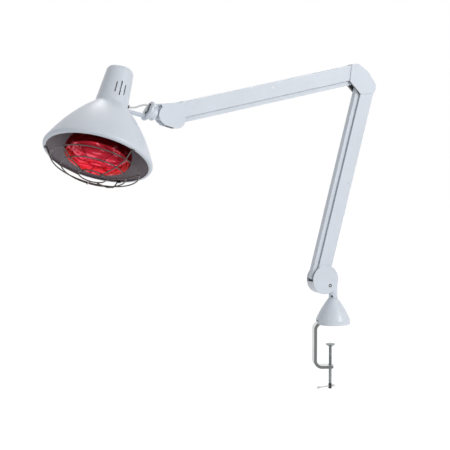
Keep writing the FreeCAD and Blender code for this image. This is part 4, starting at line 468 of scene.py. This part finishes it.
def balance_spring(name, pin, lean, body, node):
    """Close-wound coil with coned ends and an eye at each end, along an arm."""
    shape = bmesh.new()
    bmesh.ops.create_circle(shape, cap_ends=True, segments=7, radius=COIL_WIRE)
    # the section stands square to the spring's axis, so each turn is flat
    start = Matrix.Translation((COIL_START, COIL_RADIUS, 0))
    start @= Matrix.Rotation(math.pi, 4, Vector((1, 0, 1)))
    bmesh.ops.transform(shape, matrix=start, verts=shape.verts)
    section = shape.verts[:] + shape.edges[:] + shape.faces[:]
    sweep(shape, section, (1, 0, 0), 14, COIL_TURNS, COIL_PITCH)
    for vert in shape.verts:
        near = min(vert.co.x - COIL_START, COIL_END - vert.co.x)
        share = min(1.0, CONE_END + (1 - CONE_END) * max(0.0, near) / CONE_LENGTH)
        vert.co.y *= share
        vert.co.z *= share
    for eye, outer, inner in (
        (EYE_LOW, EYE_LOW + EYE_RADIUS, COIL_START + SHANK_INSIDE),
        (EYE_HIGH, EYE_HIGH - EYE_RADIUS, COIL_END - SHANK_INSIDE),
    ):
        middle = Matrix.Translation(((outer + inner) / 2, 0, 0))
        bmesh.ops.create_cone(
            shape,
            cap_ends=True,
            segments=8,
            radius1=COIL_WIRE,
            radius2=COIL_WIRE,
            depth=abs(inner - outer),
            matrix=middle @ Matrix.Rotation(math.radians(90), 4, "Y"),
        )
        before = set(shape.verts)
        rim = bmesh.ops.create_circle(shape, cap_ends=False, segments=8, radius=COIL_WIRE)["verts"]
        bmesh.ops.translate(shape, verts=rim, vec=(EYE_RADIUS, 0, 0))
        rim += [edge for edge in shape.edges if edge.verts[0] not in before]
        sweep(shape, rim, (0, 1, 0), 28)
        ring = [vert for vert in shape.verts if vert not in before]
        bmesh.ops.translate(shape, verts=ring, vec=(eye, 0, 0))
    bmesh.ops.recalc_face_normals(shape, faces=shape.faces)
    along = Vector((math.sin(lean), 0, math.cos(lean)))
    back = Vector((math.cos(lean), 0, -math.sin(lean)))
    place = Matrix((along, back.cross(along), back)).transposed().to_4x4()
    place.translation = Vector(pin) + SPRING_SET_BACK * back
    bmesh.ops.transform(shape, matrix=place, verts=shape.verts)
    piece = new_piece(name, shape, spring_steel, body, 60)
    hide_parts(node)


balance_spring(
    "lower_balance_spring", (-0.0293, 0, 0.0975), math.radians(15.2), "lower_arm", "lower_spring"
)
balance_spring(
    "forearm_balance_spring",
    (0.0449937, 0, 0.4993621),
    math.radians(-101.8),
    "forearm",
    "forearm_spring",
)

# ---------------------------------------------------------------- elbow
# Two pressed cover plates in enamel, screwed from the back through a black
# moulded block that carries the pins of both arms.

finish(joint_enamel, "elbow_cover_front", "elbow_cover_back")
finish(block_nylon, "elbow_core")
finish(zinc, "elbow_arm_pins", "elbow_link_pins", "elbow_spring_stud", "elbow_screws")

# ---------------------------------------------------------------- wrist
# The same make as the elbow, with a fork and a friction bolt for the head. The
# fork's cheeks beside the tongue are painted with the covers.

# the painted cheeks lie further out than CHEEK_OUT and above a line that falls
# by CHEEK_FALL a metre towards the lamp
CHEEK_OUT = 0.362
CHEEK_LOW = 0.238
CHEEK_FALL = 0.444

finish(joint_enamel, "wrist_cover_front", "wrist_cover_back")
wrist_nylon = black_nylon("wrist_nylon")
tree = wrist_nylon.node_tree
place = tree.nodes.new("ShaderNodeTexCoord").outputs["Object"]
out = vector_math(tree, "DOT_PRODUCT", place, (-1.0, 0.0, 0.0)).outputs["Value"]
height = vector_math(tree, "DOT_PRODUCT", place, (CHEEK_FALL, 0.0, 1.0)).outputs["Value"]
out_there = scalar_math(tree, "GREATER_THAN", out, CHEEK_OUT)
high_up = scalar_math(tree, "GREATER_THAN", height, CHEEK_LOW)
recolour(wrist_nylon, scalar_math(tree, "MULTIPLY", out_there, high_up), BLUISH_WHITE)
finish(wrist_nylon, "wrist_core")
finish(zinc, "wrist_arm_pin", "wrist_link_pin", "wrist_screws", "tilt_bolt", "tilt_nut")

# ---------------------------------------------------------------- turning joint
# A cast tongue with a bell on its end, fibre washers beside it, and a bolt in a
# black washer that the turning plate rotates about.

finish(enamel("cast_enamel", CAST_ROUGH), "knuckle")
finish(zinc, "friction_washers", "turn_bolt")
finish(black_nylon("washer_nylon", (0.07, 0.07, 0.075)), "turn_washer")

# ---------------------------------------------------------------- stem
# A steel tube welded to the turning plate, enamelled with it, that runs into
# the shade's neck and is clamped there with a bracket and a nut.

finish(enamel("stem_enamel"), "head_stem")
finish(zinc, "stem_nut", "holder_bracket", "holder_screws")

# ---------------------------------------------------------------- shade
# Spun from aluminium sheet: a bell with a rolled-off neck, three vents on each
# side and a closed crown, enamelled, with its inside painted darker as shadow.

# the shade's axis is its third column, and the middle of its mouth the last
HEAD = Matrix(
    (
        (0.908358, 0.197358, 0.368694, -0.497358),
        (-0.321666, 0.893126, 0.314414, -0.013964),
        (-0.267238, -0.404197, 0.874762, 0.333975),
        (0, 0, 0, 1),
    )
)


def along_head(tree):
    """Place on the piece from the middle of the shade's mouth, Z up its axis."""
    place = tree.nodes.new("ShaderNodeTexCoord")
    upright = tree.nodes.new("ShaderNodeMapping")
    upright.vector_type = "TEXTURE"
    upright.inputs["Location"].default_value = HEAD.translation
    upright.inputs["Rotation"].default_value = HEAD.to_euler()
    tree.links.new(place.outputs["Object"], upright.inputs["Vector"])
    return upright.outputs["Vector"]


shade_enamel = enamel("shade_enamel", CAST_ROUGH)
tree = shade_enamel.node_tree
out_from_axis = vector_math(tree, "MULTIPLY", along_head(tree), (1, 1, 0)).outputs["Vector"]
facing = tree.nodes.new("ShaderNodeMapping")
facing.vector_type = "VECTOR"
facing.inputs["Rotation"].default_value = HEAD.to_3x3().inverted().to_euler()
place = tree.nodes.new("ShaderNodeTexCoord")
tree.links.new(place.outputs["Normal"], facing.inputs["Vector"])
away = vector_math(tree, "DOT_PRODUCT", out_from_axis, facing.outputs["Vector"])
# a little under zero, so that level faces such as the crown stay outside
painted_shadow_inside = scalar_math(tree, "LESS_THAN", away.outputs["Value"], -0.002)
# faces that look towards the axis get a darker mauve grey: painted shadow inside the shade
recolour(shade_enamel, painted_shadow_inside, (0.40, 0.375, 0.41))
finish(shade_enamel, "lamp_shade")

# ---------------------------------------------------------------- lampholder
# Glazed porcelain, a little wavy from the kiln, round the bulb's aluminium
# screw cap.

glaze, tree, surface = new_material("porcelain_glaze")
surface.inputs["Coat Weight"].default_value = 0.6
ivory = ((0.35, (0.76, 0.74, 0.69)), (0.65, (0.84, 0.83, 0.79)))
tint_and_gloss(tree, surface, object_grain(tree, 70, 3), ivory, (0.10, 0.22))
raise_surface(tree, surface, object_grain(tree, 260, 2), 0.12, 0.0004)
finish(glaze, "lampholder")
finish(plated_steel("cap_aluminium", (0.80, 0.79, 0.76), (0.62, 0.61, 0.58)), "bulb_cap")

# ---------------------------------------------------------------- bulb
# A blown reflector bulb of ruby glass, mirrored inside, with a shouldered rim
# and a ring moulded into its face. It screws into the holder by its cap.

# radius and height above the shade's lip, from the face's middle to the neck
BULB_SIDE = (
    (0.0, -0.0195),
    (0.0120, -0.0191),
    (0.0235, -0.0182),
    (0.0268, -0.0190),
    (0.0312, -0.0184),
    (0.0350, -0.0162),
    (0.0392, -0.0140),
    (0.0460, -0.0114),
    (0.0525, -0.0084),
    (0.0568, -0.0052),
    (0.0598, -0.0004),
    (0.0612, 0.0050),
    (0.0615, 0.0095),
    (0.0606, 0.0150),
    (0.0588, 0.0205),
    (0.0545, 0.0290),
    (0.0490, 0.0395),
    (0.0400, 0.0525),
    (0.0310, 0.0640),
    (0.0245, 0.0745),
    (0.0208, 0.0860),
    (0.0188, 0.0995),
    (0.0181, 0.1140),
    (0.0181, 0.1286),
)
BAND_HEIGHTS = (-0.021, 0.128)
BLACK = (0.0, 0.0, 0.0)

# red at every angle over a bright mirror, with painted reflection in bands from
# the face to the neck: a bright face, and a dark shoulder and neck
ruby, tree, surface = new_material("ruby_mirror")
surface.inputs["Metallic"].default_value = 0.96
surface.inputs["Specular Tint"].default_value = (1.0, 0.16, 0.20, 1)
surface.inputs["Coat Weight"].default_value = 0.12
surface.inputs["Coat Roughness"].default_value = 0.03
height = tree.nodes.new("ShaderNodeSeparateXYZ")
tree.links.new(along_head(tree), height.inputs["Vector"])
share = tree.nodes.new("ShaderNodeMapRange")
share.inputs["From Min"].default_value = BAND_HEIGHTS[0]
share.inputs["From Max"].default_value = BAND_HEIGHTS[1]
tree.links.new(height.outputs["Z"], share.inputs["Value"])
painted_reflection_bands = tones(
    tree,
    share.outputs["Result"],
    (0.0, (0.92, 0.062, 0.115)),
    (0.03, (0.76, 0.036, 0.075)),
    (0.065, (0.52, 0.016, 0.038)),
    (0.105, (0.28, 0.005, 0.015)),
    (0.14, (0.38, 0.010, 0.024)),
    (0.20, (0.34, 0.002, 0.006)),
    (0.34, (0.30, 0.0015, 0.004)),
    (0.80, (0.22, 0.001, 0.003)),
)

# waves in the glass darken the bands, and on their crests pale streaks are painted as highlights
stretch = tree.nodes.new("ShaderNodeMapping")
stretch.inputs["Scale"].default_value = (0.45, 1.4, 1.0)
tree.links.new(along_head(tree), stretch.inputs["Vector"])
waves = tree.nodes.new("ShaderNodeTexNoise")
waves.inputs["Scale"].default_value = 62
waves.inputs["Detail"].default_value = 1.2
waves.inputs["Distortion"].default_value = 0.7
tree.links.new(stretch.outputs["Vector"], waves.inputs["Vector"])
wave = waves.outputs["Fac"]
troughs = tones(tree, wave, (0.38, (0.55, 0.45, 0.45)), (0.58, (1.0, 1.0, 1.0)))
painted_highlight_streaks = tones(tree, wave, (0.0, BLACK), (0.56, BLACK), (0.60, (0.26, 0.12, 0.14)), (0.65, BLACK))
cloudy = mix_colours(tree, "MULTIPLY", painted_reflection_bands, troughs)
streaked = mix_colours(tree, "ADD", cloudy.outputs[MIX_RESULT], painted_highlight_streaks)
tree.links.new(streaked.outputs[MIX_RESULT], surface.inputs["Base Color"])
mottle = object_grain(tree, 75, 3)
tree.links.new(spread(tree, mottle, 0.12, 0.26), surface.inputs["Roughness"])
raise_surface(tree, surface, mottle, 0.3, 0.0012)

bulb = bmesh.new()
sweep(bulb, line(bulb, [(radius, 0, height) for radius, height in BULB_SIDE]), (0, 0, 1), 96)
close_and_turn_out(bulb)
bmesh.ops.transform(bulb, matrix=HEAD, verts=bulb.verts)
ruby_bulb = new_piece("ruby_bulb", bulb, ruby, "head", 60)
rounding = ruby_bulb.modifiers.new("rounding", "SUBSURF")
rounding.levels = rounding.render_levels = 1
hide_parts("bulb_glass")

# ---------------------------------------------------------------- guard
# Three rings of plated wire on six radial wires, spot welded where they cross,
# three of them hooked into clips over the edge of the shade.

wire_metal = plated_steel("guard_wire", (0.13, 0.115, 0.11), (0.06, 0.05, 0.048), (0.25, 0.38))
finish(wire_metal, "bulb_guard", "guard_clips")

# ---------------------------------------------------------------- flex
# A short white sheathed flex that arches from the turning plate into the
# shade's neck, through a rubber grommet at each end.

FLEX_ROUTE = (
    (-0.388201, 0.0, 0.428234),
    (-0.399200, 0.0005, 0.432000),
    (-0.420500, 0.0100, 0.422600),
    (-0.430838, 0.013652, 0.427477),
)

arch = bpy.data.curves.new("short_flex", "CURVE")
arch.dimensions = "3D"
arch.bevel_depth = 0.0035 / 2
arch.bevel_resolution = 5
arch.resolution_u = 24
arch.use_fill_caps = True
run = arch.splines.new("NURBS")
run.points.add(len(FLEX_ROUTE) - 1)
for point, place in zip(run.points, FLEX_ROUTE):
    point.co = (*place, 1)
run.order_u = 3
run.use_endpoint_u = True

sheath, tree, surface = new_material("flex_sheath")
ripple = object_grain(tree, 500, 3)
white_sheath = ((0.3, (0.68, 0.68, 0.67)), (0.7, (0.80, 0.80, 0.79)))
tint_and_gloss(tree, surface, ripple, white_sheath, (0.42, 0.6))
raise_surface(tree, surface, ripple, 0.2, 0.0003)
arch.materials.append(sheath)

short_flex = bpy.data.objects.new("short_flex", arch)
scene.collection.objects.link(short_flex)
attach(short_flex, "head")
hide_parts("head_flex")
finish(black_nylon("grommet_rubber"), "flex_grommets")
